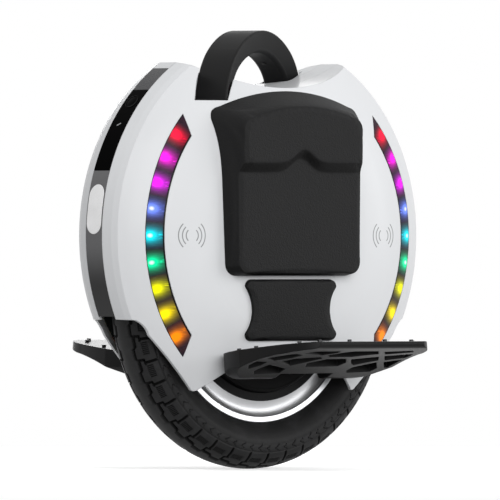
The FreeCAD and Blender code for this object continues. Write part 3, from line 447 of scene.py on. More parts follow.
def pad_leather(colours):
    """Fine pebbled leather, with painted shade where it faces down."""
    paint = Paint("pad_leather", {"Specular IOR Level": 0.115})
    # Painted shade: faces turned down get a near black copy of the leather
    under = paint.facing()[2].step(-0.2, -0.42)
    pebble = paint.cells(800)
    crease = paint.noise(420, 4)
    cloud = paint.noise(14, 3)
    grain = cloud * 0.6 + pebble * 0.4
    # Near black colour of the painted shade
    deep = [c * 0.1 for c in colours.leather]
    paint.set("Base Color", paint.mix(under, paint.shade(colours.leather, grain, 0.85, 1.2), deep))
    paint.set("Roughness", 0.44 + cloud * 0.1 + pebble * 0.08)
    paint.set("Normal", paint.bump(pebble * 0.8 + crease * 0.7, 0.00034))
    return paint


def powder_coat(colours):
    """Fine textured coat, smoother and flecked on the pedals' tops."""
    paint = Paint("powder_coat", {"Specular IOR Level": 0.1})
    speck = paint.noise(1700, 3)
    grit = paint.cells(700)
    top = paint.facing()[2].step(0.9, 0.97)
    smooth = paint.shade(colours.pedal, speck, 0.85, 1.2)
    paint.set("Base Color", paint.mix(top, smooth, paint.shade(colours.pedal, grit, 0.5, 2.4)))
    paint.set("Roughness", 0.36 + speck * 0.12 - top * 0.06)
    paint.set("Normal", paint.bump(speck * 0.2 * (1 - top) + grit * top * 0.3, 0.0003, 0.7, 0.0022))
    return paint


LAMPS = [(1.0, 0.24, 0.0), (1.0, 0.75, 0.0), (0.8, 0.8, 0.0), (0.0, 0.85, 0.35), (0.0, 0.75, 0.9),
         (0.15, 0.25, 1.0), (0.9, 0.0, 1.0), (1.0, 0.0, 0.75), (1.0, 0.0, 0.04)]
LAMP_STEP = math.radians(9.15)


def lamp_glow(paint):
    """Nearest lamp's colour, place counted in lamps, way along the arc to it, and the arc's radius."""
    reach, y, up = paint.polar(HUB)
    turn = up.math("ARCTAN2", abs(y)) / LAMP_STEP
    place = turn.math("ROUND")
    lamp = paint.node("ValToRGB", {"stops": LAMPS}, [(place + len(LAMPS) / 2) / len(LAMPS)])
    return lamp, turn, (turn - place) * LAMP_STEP * reach, reach


def smoked_lens(colours):
    """Smoked strip with the lamps' light spread behind it."""
    paint = Paint("smoked_lens", {"Specular IOR Level": 0.06, "Emission Strength": 1.4, "Alpha": 0.94})
    lamp, turn, along, reach = lamp_glow(paint)
    inward = reach - LAMP_RADIUS
    across = inward * inward
    core = (along * along / 0.0047 ** 2 + across / 0.0056 ** 2).bell()
    halo = (along * along / 0.0078 ** 2 + across / 0.0125 ** 2).bell()
    streak = paint.noise(1, 3, (300, 60, 900))
    edge = reach.step(0.1688, 0.1698) * reach.step(0.1866, 0.1856)
    ends = abs(turn).step(4.75, 4.15)
    glint = (along * along / 0.0034 ** 2).bell() * reach.step(0.1745, 0.1725) * streak.step(0.5, 0.66)
    light = ((halo * (0.3 + streak * 0.6) + core + glint * 0.5) * edge * ends).least(1.0)
    centre = abs(turn).step(1.6, 1.4)
    hot = paint.mix((core - 0.72).most(0) * 2.6 * centre, lamp, (1.0, 1.0, 1.0))
    paint.set("Emission Color", paint.mix(light, (0, 0, 0), hot))
    smoke = paint.shade(colours.smoke, streak, 0.3, 1.2)
    paint.set("Base Color", paint.mix((1 - light) * edge, (0.004, 0.004, 0.004), smoke))
    paint.set("Roughness", 0.1 + streak * 0.12)
    return paint


def lamp_board():
    """Black board whose small lamps shine in their own colours."""
    paint = Paint("lamp_board", {"Emission Strength": 1.0})
    lamp = lamp_glow(paint)[0]
    lit = abs(paint.axes()[0]).step(0.0426, 0.0430)
    paint.set("Base Color", paint.shade((0.01, 0.012, 0.012), paint.noise(400, 2)))
    paint.set("Emission Color", paint.mix(lit, (0, 0, 0), lamp))
    paint.set("Roughness", 0.4 + paint.noise(300, 1) * 0.2)
    return paint


def edge_trim(colours):
    """Satin strip, black near the floor and painted grey higher up as a painted reflection."""
    paint = Paint("edge_trim", {"Specular IOR Level": 0.2})
    # Painted reflection: dark grey above, black towards the floor
    low = paint.axes()[2].step(0.245, 0.195)
    grey = paint.shade(colours.trim, paint.noise(40, 2), 0.92, 1.08)
    paint.set("Base Color", paint.mix(low, grey, (0.004, 0.004, 0.0045)))
    paint.set("Roughness", 0.26 + paint.noise(800, 2) * 0.08)
    return paint


# Operators


class Builder:
    """What all the operators share."""

    bl_options = {"REGISTER"}

    def execute(self, context):
        self.build(context, context.scene.unicycle_sizes, context.scene.unicycle_colours)
        return {"FINISHED"}


class UNICYCLE_OT_stage(Builder, bpy.types.Operator):
    """Floor, studio light and camera"""

    bl_idname = "unicycle.stage"
    bl_label = "Stage"

    # Point the camera looks at: sideways in the picture, and height
    AIM_SIDE, AIM_HEIGHT = 0.0011, 0.2357
    FAR, FLOOR_RADIUS, SOFT_SKY = 60, 1.6, 0.47
    # Name, place, size and power of each light, and the height that they shine at
    LIGHTS = [("key", (2.9, -0.9, 1.2), 1.8, 58), ("fill", (-1.6, -2.4, 2.4), 1.8, 20),
              ("rim", (1.8, 2.2, 0.9), 1.4, 26), ("back", (-2.4, 1.7, 0.5), 1.6, 26),
              ("top", (0, 0, 2.6), 2.2, 7)]
    LIT_HEIGHT = 0.22

    def build(self, context, sizes, colours):
        scene = context.scene
        scene.view_settings.view_transform = "Standard"
        self.sky(scene)
        self.floor(scene)
        self.lamps(scene)
        around = Vector((math.cos(sizes.azimuth), math.sin(sizes.azimuth), 0))
        back = Vector((math.sin(sizes.azimuth), -math.cos(sizes.azimuth), 0))
        camera = bpy.data.objects.new("camera", bpy.data.cameras.new("camera"))
        scene.collection.objects.link(camera)
        camera.data.lens = sizes.lens
        camera.data.clip_end = self.FAR
        middle = around * self.AIM_SIDE + Vector((0, 0, self.AIM_HEIGHT))
        camera.location = middle + back * (sizes.photo_width * sizes.lens / camera.data.sensor_width)
        camera.rotation_euler = (-back).to_track_quat("-Z", "Y").to_euler()
        scene.camera = camera

    def sky(self, scene):
        """White where it is seen, softer where it only lights."""
        scene.world = bpy.data.worlds.new("studio")
        sky = Nodes(scene.world)
        soft = sky.node("Background", {}, {"Color": (1, 1, 1), "Strength": self.SOFT_SKY})
        white = sky.node("Background", {}, {"Color": (1, 1, 1), "Strength": 1.0})
        sky.node("OutputWorld", {}, {"Surface": sky.node("MixShader", {}, [sky.seen(), soft, white])})

    def floor(self, scene):
        """Round sheet of paper, white where it is seen."""
        edge = bmesh.new()
        bmesh.ops.create_circle(edge, cap_ends=True, segments=96, radius=self.FLOOR_RADIUS)
        mesh = bpy.data.meshes.new("floor")
        edge.to_mesh(mesh)
        edge.free()
        floor = bpy.data.objects.new("floor", mesh)
        scene.collection.objects.link(floor)
        paint = Paint("floor_paper", {"Roughness": 0.8, "Specular IOR Level": 0.1, "Emission Strength": 1.0})
        seen = paint.seen()
        paper = paint.shade((0.8, 0.8, 0.8), paint.noise(30, 2), 0.99, 1.01)
        paint.set("Base Color", paint.mix(seen, (0.45, 0.45, 0.45), paper))
        paint.set("Emission Color", paint.mix(seen, (0, 0, 0), (0.45, 0.45, 0.45)))
        coat(mesh, paint)

    def lamps(self, scene):
        for name, spot, size, power in self.LIGHTS:
            light = bpy.data.lights.new(name, "AREA")
            light.energy = power
            light.size = size
            lamp = bpy.data.objects.new(name, light)
            scene.collection.objects.link(lamp)
            lamp.location = spot
            ray = Vector((0, 0, self.LIT_HEIGHT)) - Vector(spot)
            lamp.rotation_euler = ray.to_track_quat("-Z", "Y").to_euler()


class UNICYCLE_OT_pads(Builder, bpy.types.Operator):
    """Foam side pads under a leather cover"""

    bl_idname = "unicycle.pads"
    bl_label = "Side pads"

    # Points on each stretch of an outline
    POINTS = 25
    # Upper pad: distances out of its face, proud field and root, then radii and shoulder rise of its outline
    FACE, PROUD, ROOT = 0.0845, 0.0915, 0.045
    CORNER, SHOULDER, TOP, TIP = 0.014, 0.016, 0.235, 0.002
    # Step of the upper pad: half width of its peak, rise over which it comes out, and how it leans in
    PEAK_HALF, STEP_RISE, LEAN_IN, LEAN_DOWN, LEAN_RISE = 0.0175, 0.0105, 0.0345, 0.0035, 0.06
    # Lower pad: distances out, half length, lower and upper edge, corners and hollow ends
    LOW_FACE, LOW_ROOT = 0.0715, 0.058
    LOW_HALF, LOW_BASE, LOW_TOP, LOW_CORNER, LOW_HOLLOW = 0.0657, 0.1363, 0.2061, 0.008, 0.037
    # Height over the shell from which foam is free, and share of a pad's depth that is held
    FREE, HELD = 0.0012, 0.45
    FRAMES = 20

    def build(self, context, sizes, colours):
        leather = pad_leather(colours)
        for stem, grids in (("upper_pad", self.upper_pad(sizes)), ("lower_pad", self.lower_pad(sizes))):
            for name, mesh in turned_pair(stem, self.foam(context, stem, grids, sizes)):
                cover = piece(name + "_cover", mesh, "frame", leather)
                rounded = cover.modifiers.new("round", "SUBSURF")
                rounded.levels = 1
                rounded.render_levels = 1
                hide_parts(name)

    def upper_pad(self, sizes):
        """Face, wall and back of the large pad, whose upper field stands out over a waved step."""
        def rim(low_half, top_half, base, corner):
            end, tip = top_half - self.CORNER, corner + self.TIP
            rise = self.TOP - math.sqrt(self.TOP ** 2 - end ** 2)
            return [((0, base), 0), ((low_half - self.CORNER, base), 0),
                    ((low_half, base + self.CORNER), -self.CORNER), ((top_half, corner - self.SHOULDER), 0),
                    ((end, tip), -self.SHOULDER), ((0, tip + rise), -self.TOP)]

        face, base = self.sides(
            sizes, rim(low_half=0.086, top_half=0.087, base=0.2097, corner=0.380),
            rim(low_half=0.100, top_half=0.114, base=0.2057, corner=0.3915))

        def proud(spots):
            crest = sizes.step_height + sizes.step_peak * np.exp(-(spots[..., 0] / self.PEAK_HALF) ** 2)
            return np.clip((spots[..., 1] - crest) / self.STEP_RISE, 0, 1)

        def pulled(spots, share):
            along, up = spots[..., 0], spots[..., 1]
            drop = self.LEAN_DOWN * np.clip((up - sizes.step_height) / self.LEAN_RISE, 0, 1)
            return np.stack([along * (1 - self.LEAN_IN * share), up - drop * share], axis=-1)

        return self.shape(face, base, self.ROOT, self.FACE, self.PROUD, proud, pulled)

    def lower_pad(self, sizes):
        """Face, wall and back of the small pad with hollow ends."""
        def rim(inset):
            half, low, top = self.LOW_HALF - inset, self.LOW_BASE + inset, self.LOW_TOP - inset
            round_off = self.LOW_CORNER
            return [((0, low), 0), ((half - round_off, low), 0), ((half, low + round_off), -round_off),
                    ((half, top - round_off), self.LOW_HOLLOW), ((half - round_off, top), -round_off),
                    ((0, top), 0)]

        face, base = self.sides(sizes, rim(inset=0.0025), rim(inset=0.0))
        return self.shape(face, base, self.LOW_ROOT, self.LOW_FACE, self.LOW_FACE,
                          lambda spots: 0 * spots[..., 0], lambda spots, share: spots)

    def sides(self, sizes, *chains):
        """Bottom, right, top and left edges of pad outlines, split in the middle of their corners."""
        face = [spot for spot, _ in chains[0]]
        across = round(face[2][0] / sizes.pad_grain)
        tall = round((face[4][1] - face[0][1]) / sizes.pad_grain)
        points, middle = self.POINTS, self.POINTS // 2
        for chain in chains:
            runs = []
            for (start, _), (end, radius) in zip(chain, chain[1:]):
                runs.append(bow(start, end, radius, points) if radius else np.linspace(start, end, points))
            half_low = np.concatenate([runs[0], runs[1][1:middle + 1]])
            half_top = np.concatenate([runs[3][middle:], runs[4][1:]])[::-1]
            right = evenly(np.concatenate([runs[1][middle:], runs[2][1:], runs[3][1:middle + 1]]), tall)
            bottom, top = [np.concatenate([(edge * (-1, 1))[:0:-1], edge]) for edge in (
                evenly(half_low, across), evenly(half_top, across))]
            yield bottom, right, top, right * (-1, 1)

    def patch(self, bottom, right, top, left):
        """Grid of points between four edges."""
        u = np.linspace(0, 1, len(bottom))[:, None, None]
        v = np.linspace(0, 1, len(right))[None, :, None]
        flat = (1 - v) * bottom[:, None] + v * top[:, None] + (1 - u) * left[None] + u * right[None]
        corners = (1 - v) * ((1 - u) * bottom[0] + u * bottom[-1]) + v * ((1 - u) * top[0] + u * top[-1])
        return flat - corners

    def loop(self, bottom, right, top, left):
        """The four edges as one closed line."""
        return np.concatenate([bottom[:-1], right[:-1], top[:0:-1], left[:0:-1]])

    def shape(self, face, base, root, flat, crest, proud, pulled):
        """Grids of a pad's face, its wall down to the shell and its back along the shell."""
        front = self.patch(*face)
        share = proud(front)
        front = np.concatenate([(flat + (crest - flat) * share)[..., None], pulled(front, share)], axis=-1)
        edge, foot = self.loop(*face), self.loop(*base)
        lift = proud(edge)
        start = flat + (crest - flat) * lift

        def wall(out):
            down = np.clip((flat - out) / (flat - root), 0, 1)[..., None]
            up = np.clip((out - flat) / max(crest - flat, 1e-9), 0, 1)
            return pulled(edge * (1 - down) + foot * down, up)

        near, far = np.full(len(edge), flat), np.full(len(edge), root)
        for _ in range(30):
            middle = (near + far) / 2
            clear = middle > flank(wall(middle))
            near, far = np.where(clear, middle, near), np.where(clear, far, middle)
        rows = [start + (near - start) * t for t in np.linspace(0, 1, 15)]
        sides = np.stack([np.concatenate([out[:, None], wall(out)], axis=1) for out in rows], axis=1)
        end = sides[:, -1, 1:]
        count, tall = len(face[0]) - 1, len(face[1]) - 1
        closed = np.concatenate([end, end[:1]])
        back = self.patch(closed[:count + 1], closed[count:count + tall + 1],
                          closed[count + tall:2 * count + tall + 1][::-1], closed[2 * count + tall:][::-1])
        back = np.concatenate([flank(back)[..., None], back], axis=-1)
        return front, sides, back[::-1]

    def foam(self, context, stem, grids, sizes):
        """The pad's form as one mesh, rounded and blown out a little under its cover."""
        form = bmesh.new()
        for grid, wrap in zip(grids, (False, True, False)):
            form.from_mesh(grid_mesh(stem, grid, False, wrap))
        bmesh.ops.remove_doubles(form, verts=form.verts, dist=1e-5)
        bmesh.ops.recalc_face_normals(form, faces=form.faces)
        mesh = bpy.data.meshes.new(stem)
        form.to_mesh(mesh)
        form.free()
        work = bpy.data.objects.new("pad_work", mesh)
        context.scene.collection.objects.link(work)
        spots = np.array([v.co for v in mesh.vertices])
        free = work.vertex_groups.new(name="free")
        loose = np.nonzero(spots[:, 0] > flank(spots[:, 1:]) + self.FREE)[0]
        free.add(loose.tolist(), 1.0, "REPLACE")
        soften = work.modifiers.new("soften", "SMOOTH")
        soften.factor = 0.5
        soften.iterations = 2
        soften.vertex_group = "free"
        work = self.applied(context, work)
        work = self.blown(context, work, sizes.pad_swell)
        mesh = work.data
        bpy.data.objects.remove(work)
        mesh.polygons.foreach_set("use_smooth", [True] * len(mesh.polygons))
        return mesh

    def applied(self, context, work):
        """The object with its modifiers made part of its mesh."""
        context.view_layer.update()
        seen = work.evaluated_get(context.evaluated_depsgraph_get())
        mesh = bpy.data.meshes.new_from_object(seen)
        work.modifiers.clear()
        work.data = mesh
        return work

    def blown(self, context, work, cap):
        """Press the cover out from inside, holding what lies on the shell."""
        still = np.array([v.co for v in work.data.vertices])
        held = work.vertex_groups.new(name="held")
        lowest = still[:, 0].min()
        depth = (still[:, 0] - lowest) / (still[:, 0].max() - lowest)
        held.add(np.nonzero(depth < self.HELD)[0].tolist(), 1.0, "REPLACE")
        cloth = work.modifiers.new("cover", "CLOTH")
        cloth.settings.use_pressure = True
        cloth.settings.uniform_pressure_force = 4
        cloth.settings.effector_weights.gravity = 0
        cloth.settings.vertex_group_mass = "held"
        cloth.settings.tension_stiffness = 25
        cloth.settings.bending_stiffness = 2
        for count in range(self.FRAMES):
            context.scene.frame_set(count + 1)
        work = self.applied(context, work)
        moved = np.array([v.co for v in work.data.vertices]) - still
        reach = np.linalg.norm(moved, axis=1, keepdims=True)
        placed = still + moved * np.minimum(1.0, cap / np.maximum(reach, 1e-9))
        work.data.vertices.foreach_set("co", placed.ravel())
        context.scene.frame_set(1)
        return work


class UNICYCLE_OT_wheel(Builder, bpy.types.Operator):
    """Treaded tyre, rim and motor"""

    bl_idname = "unicycle.wheel"
    bl_label = "Wheel"

    # Half of the tyre's section: arcs from the crown to the rim, and corners back inside to the middle
    CROWN = [((0, 0.183), (0.024, 0.174), 0.037), ((0.024, 0.174), (0.030, 0.155), 0.022),
             ((0.030, 0.155), (0.0162, 0.1336), 0.040)]
    INSIDE = [(0.0162, 0.1273), (0.0094, 0.1273), (0.0104, 0.137), (0.024, 0.155), (0.020, 0.167), (0, 0.175)]
    # Distances from the crown, in millimetres, at which the tread may break
    BREAKS = [
        0, 4, 8, *np.arange(10.4, 15.3, 0.8),  # crown and zigzag
        17, 19.6, 20.6, 21.6, 22.4,  # blocks and their jog
        24, 26, 27.6, 28.4, 29.4,  # sipes
        31, 33, 34.4, 35, 35.8, 36.6,  # shoulder and first rail
        *np.arange(37.4, 44.5, 1.0),  # chevrons
        45.6, 48, 52, 57, 62, 67]  # second rail and side wall
    # Cuts of the tread, by their distance from the crown
    ZIGZAG, SWING = 0.0128, 0.0012
    GAP_FROM, GAP_TO, JOG = 0.0125, 0.0366, 0.021
    SIPES_FROM, SIPES_TO = 0.0222, 0.0285
    ARROWS_FROM, ARROWS_MIDDLE, ARROWS_TO = 0.0372, 0.0408, 0.0446
    RAILS = (0.0366, 0.0452)
    # Places along a block, as shares of its length
    JOG_FROM, JOG_TO = -0.06, 0.19
    FIRST_SIPE, SIPE_STEP = 0.30, 0.08
    SIPE_DEPTH, ARROW_DEPTH, RAIL_DEPTH = 0.002, 0.0014, 0.0008

    def build(self, context, sizes, colours):
        rubber = tyre_rubber(colours)
        tyre = piece("treaded_tyre", self.tyre(sizes), "wheel", rubber)
        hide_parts("tyre")
        wear(polished_rim(colours), "rim")
        wear(motor_cover(), *both_sides("motor_cover"))
        wear(moulded("tube_rubber", colours.rubber, 0.7), "inner_tube")
        wear(machined("valve_metal", (0.6, 0.6, 0.62)), "valve_stem")
        wear(machined("rotor_steel", (0.45, 0.46, 0.48), 0.4), "rotor_ring", "stator_core")
        wear(machined("magnet_plate", (0.5, 0.5, 0.53), 0.25), "magnets")
        wear(machined("copper_wire", (0.7, 0.33, 0.15), 0.35, (40, 2500, 40)), "stator_coils")
        wear(machined("axle_steel", (0.55, 0.56, 0.58), 0.25), "axle", "axle_nuts", "bearings")

    def tyre(self, sizes):
        """Ring of tread blocks over a plain carcass, as one closed mesh."""
        path = np.concatenate([bow(a, b, r, 80)[min(k, 1):] for k, (a, b, r) in enumerate(self.CROWN)])
        run = np.concatenate([[0], np.cumsum(np.linalg.norm(np.diff(path, axis=0), axis=1))])
        across = np.append(np.array(self.BREAKS) / 1000, run[-1])
        spots = np.stack([np.interp(across, run, path[:, k]) for k in (0, 1)], axis=1)
        slope = np.stack([np.gradient(spots[:, k], across) for k in (0, 1)], axis=1)
        slope[0] = (1, 0)
        normal = np.stack([-slope[:, 1], slope[:, 0]], axis=1) / np.linalg.norm(slope, axis=1, keepdims=True)
        shares = self.block_shares(sizes)
        turn = (np.arange(sizes.blocks)[:, None] + shares[None, :]).ravel() / sizes.blocks * 2 * math.pi
        share = np.tile(shares, sizes.blocks)
        deep = self.depth(share[:, None], across[None, :], sizes)
        half = spots[None, :, :] - normal[None, :, :] * deep[:, :, None]
        inside = np.array(self.INSIDE)
        inner = np.concatenate([inside, inside[-2::-1] * (-1, 1)])
        inner = np.broadcast_to(inner, (len(turn), *inner.shape))
        section = np.concatenate([half[:, :0:-1] * (-1, 1), half, inner], axis=1)
        grooves = np.concatenate([deep[:, :0:-1], deep, np.zeros(inner.shape[:2])], axis=1) / sizes.groove
        way = turn[:, None]
        reach = section[..., 1]
        corners = np.stack([section[..., 0], -reach * np.sin(way), AXLE + reach * np.cos(way)], axis=-1)
        mesh = grid_mesh("treaded_tyre", corners, True)
        # Depth of each point's cut, which the rubber paint turns into painted shade in the grooves
        mesh.attributes.new("groove", "FLOAT", "POINT").data.foreach_set("value", grooves.ravel())
        mesh.set_sharp_from_angle(angle=math.radians(38))
        return mesh

    def sipe_middles(self, sizes):
        """Places of the short cuts along one block."""
        return self.FIRST_SIPE + self.SIPE_STEP * np.arange(sizes.sipes)

    def block_shares(self, sizes):
        """Places along one block where the surface may break."""
        shares = [self.JOG_FROM, -0.035, 0.035, 0.06, 0.085, 0.165, self.JOG_TO]
        for middle in self.sipe_middles(sizes):
            shares += [middle - 0.019, middle - 0.012, middle + 0.012, middle + 0.019]
        return np.array(sorted(shares + [0.245, 0.87]))

    def depth(self, share, run, sizes):
        """How deep the tread is cut at a share of a block and a distance from the crown."""
        share = (share + 0.5) % 1 - 0.5
        pitch = 2 * math.pi * TYRE_RADIUS / sizes.blocks

        def trench(distance, width, fade):
            return np.clip((width / 2 + fade - np.abs(distance)) / fade, 0, 1)

        wave = np.sin(2 * math.pi * share)
        zigzag = self.ZIGZAG + self.SWING * np.sign(wave) * np.minimum(1, 4 * np.abs(wave))
        ring = trench(run - zigzag, 0.0018, 0.0007)
        bend = 0.13 * np.clip((run - 0.0206) / 0.0008, 0, 1)
        sideways = (share - bend + 0.5) % 1 - 0.5
        gap = trench(sideways * pitch, 0.0019, 0.0007) * (run > self.GAP_FROM)
        gap = gap * np.clip((self.GAP_TO - run) / 0.004, 0, 1)
        jog = trench(run - self.JOG, 0.0012, 0.0008) * (share > self.JOG_FROM) * (share < self.JOG_TO)
        cut = np.zeros_like(share + run)
        for middle in (self.sipe_middles(sizes) + 0.5) % 1 - 0.5:
            cut = np.maximum(cut, trench((share - middle) * pitch, 0.0008, 0.0002))
        cut = cut * (run > self.SIPES_FROM) * (run < self.SIPES_TO)
        chevron = (share * 2 - 0.55 * np.abs(run - self.ARROWS_MIDDLE) / 0.0045 + 0.5) % 1 - 0.5
        arrow = trench(chevron * pitch / 2, 0.0007, 0.0005)
        arrow = arrow * (run > self.ARROWS_FROM) * (run < self.ARROWS_TO)
        first, second = self.RAILS
        rail = trench(run - first, 0.0006, 0.0008) + trench(run - second, 0.0005, 0.0008)
        main = sizes.groove * np.maximum.reduce([ring, gap, jog])
        return np.maximum.reduce([
            main, self.SIPE_DEPTH * cut, self.ARROW_DEPTH * arrow, self.RAIL_DEPTH * rail + 0 * share])


class UNICYCLE_OT_shell(Builder, bpy.types.Operator):
    """Shells, spine, liner and edge trim"""

    bl_idname = "unicycle.shell"
    bl_label = "Shell and trim"

    # The handle's leg, from the middle outwards and to one side, and the ledge that it stands over
    LEG_IN, LEG_OUT, LEG_HALF, LEDGE = 0.077, 0.100, 0.019, 0.3955
    # The wall beside it: thickness, and how far it stays under the scoop and inside the shell's side
    WALL, UNDER, INSIDE = 0.0012, 0.0004, 0.0015
    # The headlight's glass: angle above the horizontal, and shares of its radius with their heights
    GLASS_ANGLE = 41
    GLASS = [(0.0, 0.0009), (0.35, 0.0008), (0.7, 0.0005), (0.9, 0.0003), (0.93, 0.00055), (1.0, 0.0005),
             (1.02, -0.0004)]
    # The glowing bar, a painted highlight: angle above the horizontal, lean, size and rounding
    BAR_ANGLE, BAR_LEAN, BAR_SIZE, BAR_ROUND = 33, math.radians(28), (0.0062, 0.0012, 0.0008), 0.0003

    def build(self, context, sizes, colours):
        pearl = pearl_shell(sizes, colours)
        wear(pearl, *both_sides("shell"), "top_spine")
        for name, mesh in turned_pair("handle_pocket", self.pocket(sizes)):
            thick = piece(name, mesh, "frame", pearl).modifiers.new("thick", "SOLIDIFY")
            thick.thickness = self.WALL
            thick.offset = 1
        wear(moulded("liner_plastic", colours.liner, 0.55, 1300, 0.00005), "wheel_arch_liner")
        wear(edge_trim(colours), "front_strip", "rear_strip")
        wear(glossy("cap_gloss", (0.055, 0.055, 0.058), 0.25), "front_cap", "rear_cap")
        wear(glossy("window_gloss", colours.window, 0.08, 0.008), "headlight_window")
        wear(glossy("tail_gloss", (0.03, 0.002, 0.003)), "tail_light_window")
        wear(glossy("oval_white", (0.9, 0.9, 0.905), 0.25, 0.2), "oval_inlay")
        wear(machined("reflector", (0.85, 0.85, 0.86), 0.12), "headlight_cup")
        wear(moulded("flap_rubber", (0.02, 0.02, 0.021), 0.6), "charge_flap")
        wear(moulded("socket_plastic", (0.015, 0.015, 0.016)), "charge_socket")
        wear(machined("bezel_metal", (0.6, 0.6, 0.62), 0.2), "button_bezel")
        wear(moulded("button_plastic", (0.03, 0.03, 0.031), 0.35), "power_button")
        self.headlight(sizes)

    def pocket(self, sizes):
        """Wall of the recess that a leg of the handle stands in, bent out to the shell's side."""
        along, across, outward = [np.array((math.sin(a), -math.cos(a))) for a in (
            sizes.handle_turn, sizes.handle_turn + math.pi / 2, sizes.azimuth)]
        start, corner = [along * far - across * self.LEG_HALF for far in (self.LEG_IN, self.LEG_OUT)]

        def height(y, share):
            top = SCOOP_FLOOR + SCOOP_RADIUS - np.sqrt(SCOOP_RADIUS ** 2 - y ** 2) - self.UNDER
            return self.LEDGE + share * (top - self.LEDGE)

        rows = []
        for share in np.linspace(0, 1, 13):
            reach = 0.0
            for _ in range(20):
                x, y = corner + outward * reach
                reach += flank(np.array((y, height(y, share)))) - self.INSIDE - x
            tip = corner + outward * reach
            plan = np.concatenate([np.linspace(start, corner, 7), np.linspace(corner, tip, 15)[1:]])
            rows.append(np.column_stack([plan, height(plan[:, 1], share)]))
        return grid_mesh("handle_pocket", np.stack(rows, axis=1), False, False)

    def headlight(self, sizes):
        """Round glass and a small glowing bar, a painted highlight, on the black window."""
        glass = glossy("headlight_glass", (0.0008, 0.0008, 0.0009), 0.08, 0.012)
        # Painted highlight: the bar glows a faint grey
        bar = Paint("highlight_bar", {"Emission Strength": 0.15, "Roughness": 0.2})
        bar.set("Base Color", bar.shade((0.28, 0.28, 0.28), bar.noise(600, 2)))
        bar.set("Emission Color", bar.shade((0.5, 0.52, 0.55), bar.noise(900, 2)))
        lens = bmesh.new()
        rings = [(share * sizes.headlight, height) for share, height in self.GLASS]
        mesh = grid_mesh("headlight_glass", np.array([
            [(reach * math.cos(turn), reach * math.sin(turn), height) for reach, height in rings]
            for turn in np.linspace(0, 2 * math.pi, 48, endpoint=False)]))
        lens.from_mesh(mesh)
        bmesh.ops.remove_doubles(lens, verts=lens.verts, dist=1e-7)
        bmesh.ops.recalc_face_normals(lens, faces=lens.faces)
        lens.to_mesh(mesh)
        lens.free()
        mesh.transform(self.on_edge(self.GLASS_ANGLE))
        piece("headlight_glass", mesh, "frame", glass)
        strip = bmesh.new()
        bmesh.ops.create_cube(strip, size=1.0)
        bmesh.ops.scale(strip, vec=self.BAR_SIZE, verts=strip.verts)
        bmesh.ops.bevel(strip, geom=strip.edges[:], offset=self.BAR_ROUND, segments=2, affect="EDGES")
        mesh = bpy.data.meshes.new("highlight_bar")
        strip.to_mesh(mesh)
        strip.free()
        mesh.transform(self.on_edge(self.BAR_ANGLE) @ Matrix.Rotation(self.BAR_LEAN, 4, "Z"))
        piece("highlight_bar", mesh, "frame", bar)

    def on_edge(self, degrees):
        """Place on the front edge at an angle above the horizontal, with Z outwards and X along the axle."""
        rise = math.radians(degrees)
        out = Vector((0, -math.cos(rise), math.sin(rise)))
        side = Vector((1, 0, 0))
        spot = out * EDGE_RADIUS + Vector((0, 0, HUB))
        turned = Matrix((side, out.cross(side), out)).transposed().to_4x4()
        return Matrix.Translation(spot) @ turned


class UNICYCLE_OT_lights(Builder, bpy.types.Operator):
    """Curved light strips and their lamps"""

    bl_idname = "unicycle.lights"
    bl_label = "Light strips"

    def build(self, context, sizes, colours):
        places = ["%s_%s" % (end, side) for end in ("front", "rear") for side in ("left", "right")]
        wear(smoked_lens(colours), *["light_lens_" + place for place in places])
        wear(lamp_board(), *["lamp_board_" + place for place in places])
        wear(moulded("tail_board", (0.02, 0.004, 0.004)), "tail_light_board")


class UNICYCLE_OT_handle(Builder, bpy.types.Operator):
    """Carrying handle with its rods and release button"""

    bl_idname = "unicycle.handle"
    bl_label = "Handle"

    def build(self, context, sizes, colours):
        wear(moulded("grip_plastic", colours.grip, 0.55, 1900, 0.00004, 0.14), "handle")
        wear(moulded("release_button", (0.006, 0.006, 0.006), 0.5), "lift_button")
        wear(machined("rod_anodised", (0.5, 0.5, 0.52), 0.35, (60, 60, 3)), "handle_rods")
        wear(machined("guide_metal", (0.35, 0.35, 0.37), 0.4, (60, 60, 3)), "handle_guides")


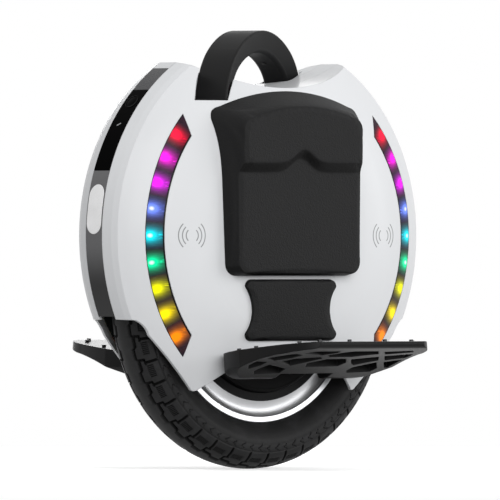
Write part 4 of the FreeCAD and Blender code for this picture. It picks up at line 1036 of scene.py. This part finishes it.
class UNICYCLE_OT_pedals(Builder, bpy.types.Operator):
    """Fold-up pedals on their hangers"""

    bl_idname = "unicycle.pedals"
    bl_label = "Pedals"

    def build(self, context, sizes, colours):
        wear(powder_coat(colours), *both_sides("pedal"), *both_sides("hanger"))
        wear(machined("stud_steel", (0.03, 0.03, 0.031), 0.4), *both_sides("pedal_studs"))
        wear(machined("pin_steel", (0.4, 0.4, 0.42), 0.3), *both_sides("pedal_pin"))


class UNICYCLE_OT_inside(Builder, bpy.types.Operator):
    """Batteries, controller and speakers inside the shells"""

    bl_idname = "unicycle.inside"
    bl_label = "Inside"

    def build(self, context, sizes, colours):
        wear(glossy("cell_wrap", (0.02, 0.06, 0.18), 0.3, 0.3), *both_sides("battery"))
        wear(moulded("circuit_board", (0.01, 0.09, 0.035), 0.4), "control_board")
        wear(machined("heat_sink_metal", (0.5, 0.5, 0.52), 0.4, (40, 40, 900)), "heat_sink")
        wear(moulded("speaker_cone", (0.012, 0.012, 0.013), 0.6), "speakers")


PIECES = [UNICYCLE_OT_stage, UNICYCLE_OT_pads, UNICYCLE_OT_shell, UNICYCLE_OT_lights, UNICYCLE_OT_handle,
          UNICYCLE_OT_pedals, UNICYCLE_OT_inside, UNICYCLE_OT_wheel]


class UNICYCLE_PT_panel(bpy.types.Panel):
    """Buttons for each group of pieces"""

    bl_label = "Electric Unicycle"
    bl_idname = "UNICYCLE_PT_panel"
    bl_space_type = "VIEW_3D"
    bl_region_type = "UI"
    bl_category = "Unicycle"

    def draw(self, context):
        for settings in (context.scene.unicycle_sizes, context.scene.unicycle_colours):
            column = self.layout.column()
            for name in settings.__annotations__:
                column.prop(settings, name)
        for operator in PIECES:
            self.layout.operator(operator.bl_idname)


CLASSES = [UnicycleSizes, UnicycleColours, *PIECES, UNICYCLE_PT_panel]


def register():
    for one in CLASSES:
        bpy.utils.register_class(one)
    bpy.types.Scene.unicycle_sizes = bpy.props.PointerProperty(type=UnicycleSizes)
    bpy.types.Scene.unicycle_colours = bpy.props.PointerProperty(type=UnicycleColours)


def unregister():
    del bpy.types.Scene.unicycle_colours
    del bpy.types.Scene.unicycle_sizes
    for one in reversed(CLASSES):
        bpy.utils.unregister_class(one)


def main():
    register()
    for operator in PIECES:
        group, name = operator.bl_idname.split(".")
        getattr(getattr(bpy.ops, group), name)()
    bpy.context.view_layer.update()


if __name__ == "__main__":
    main()
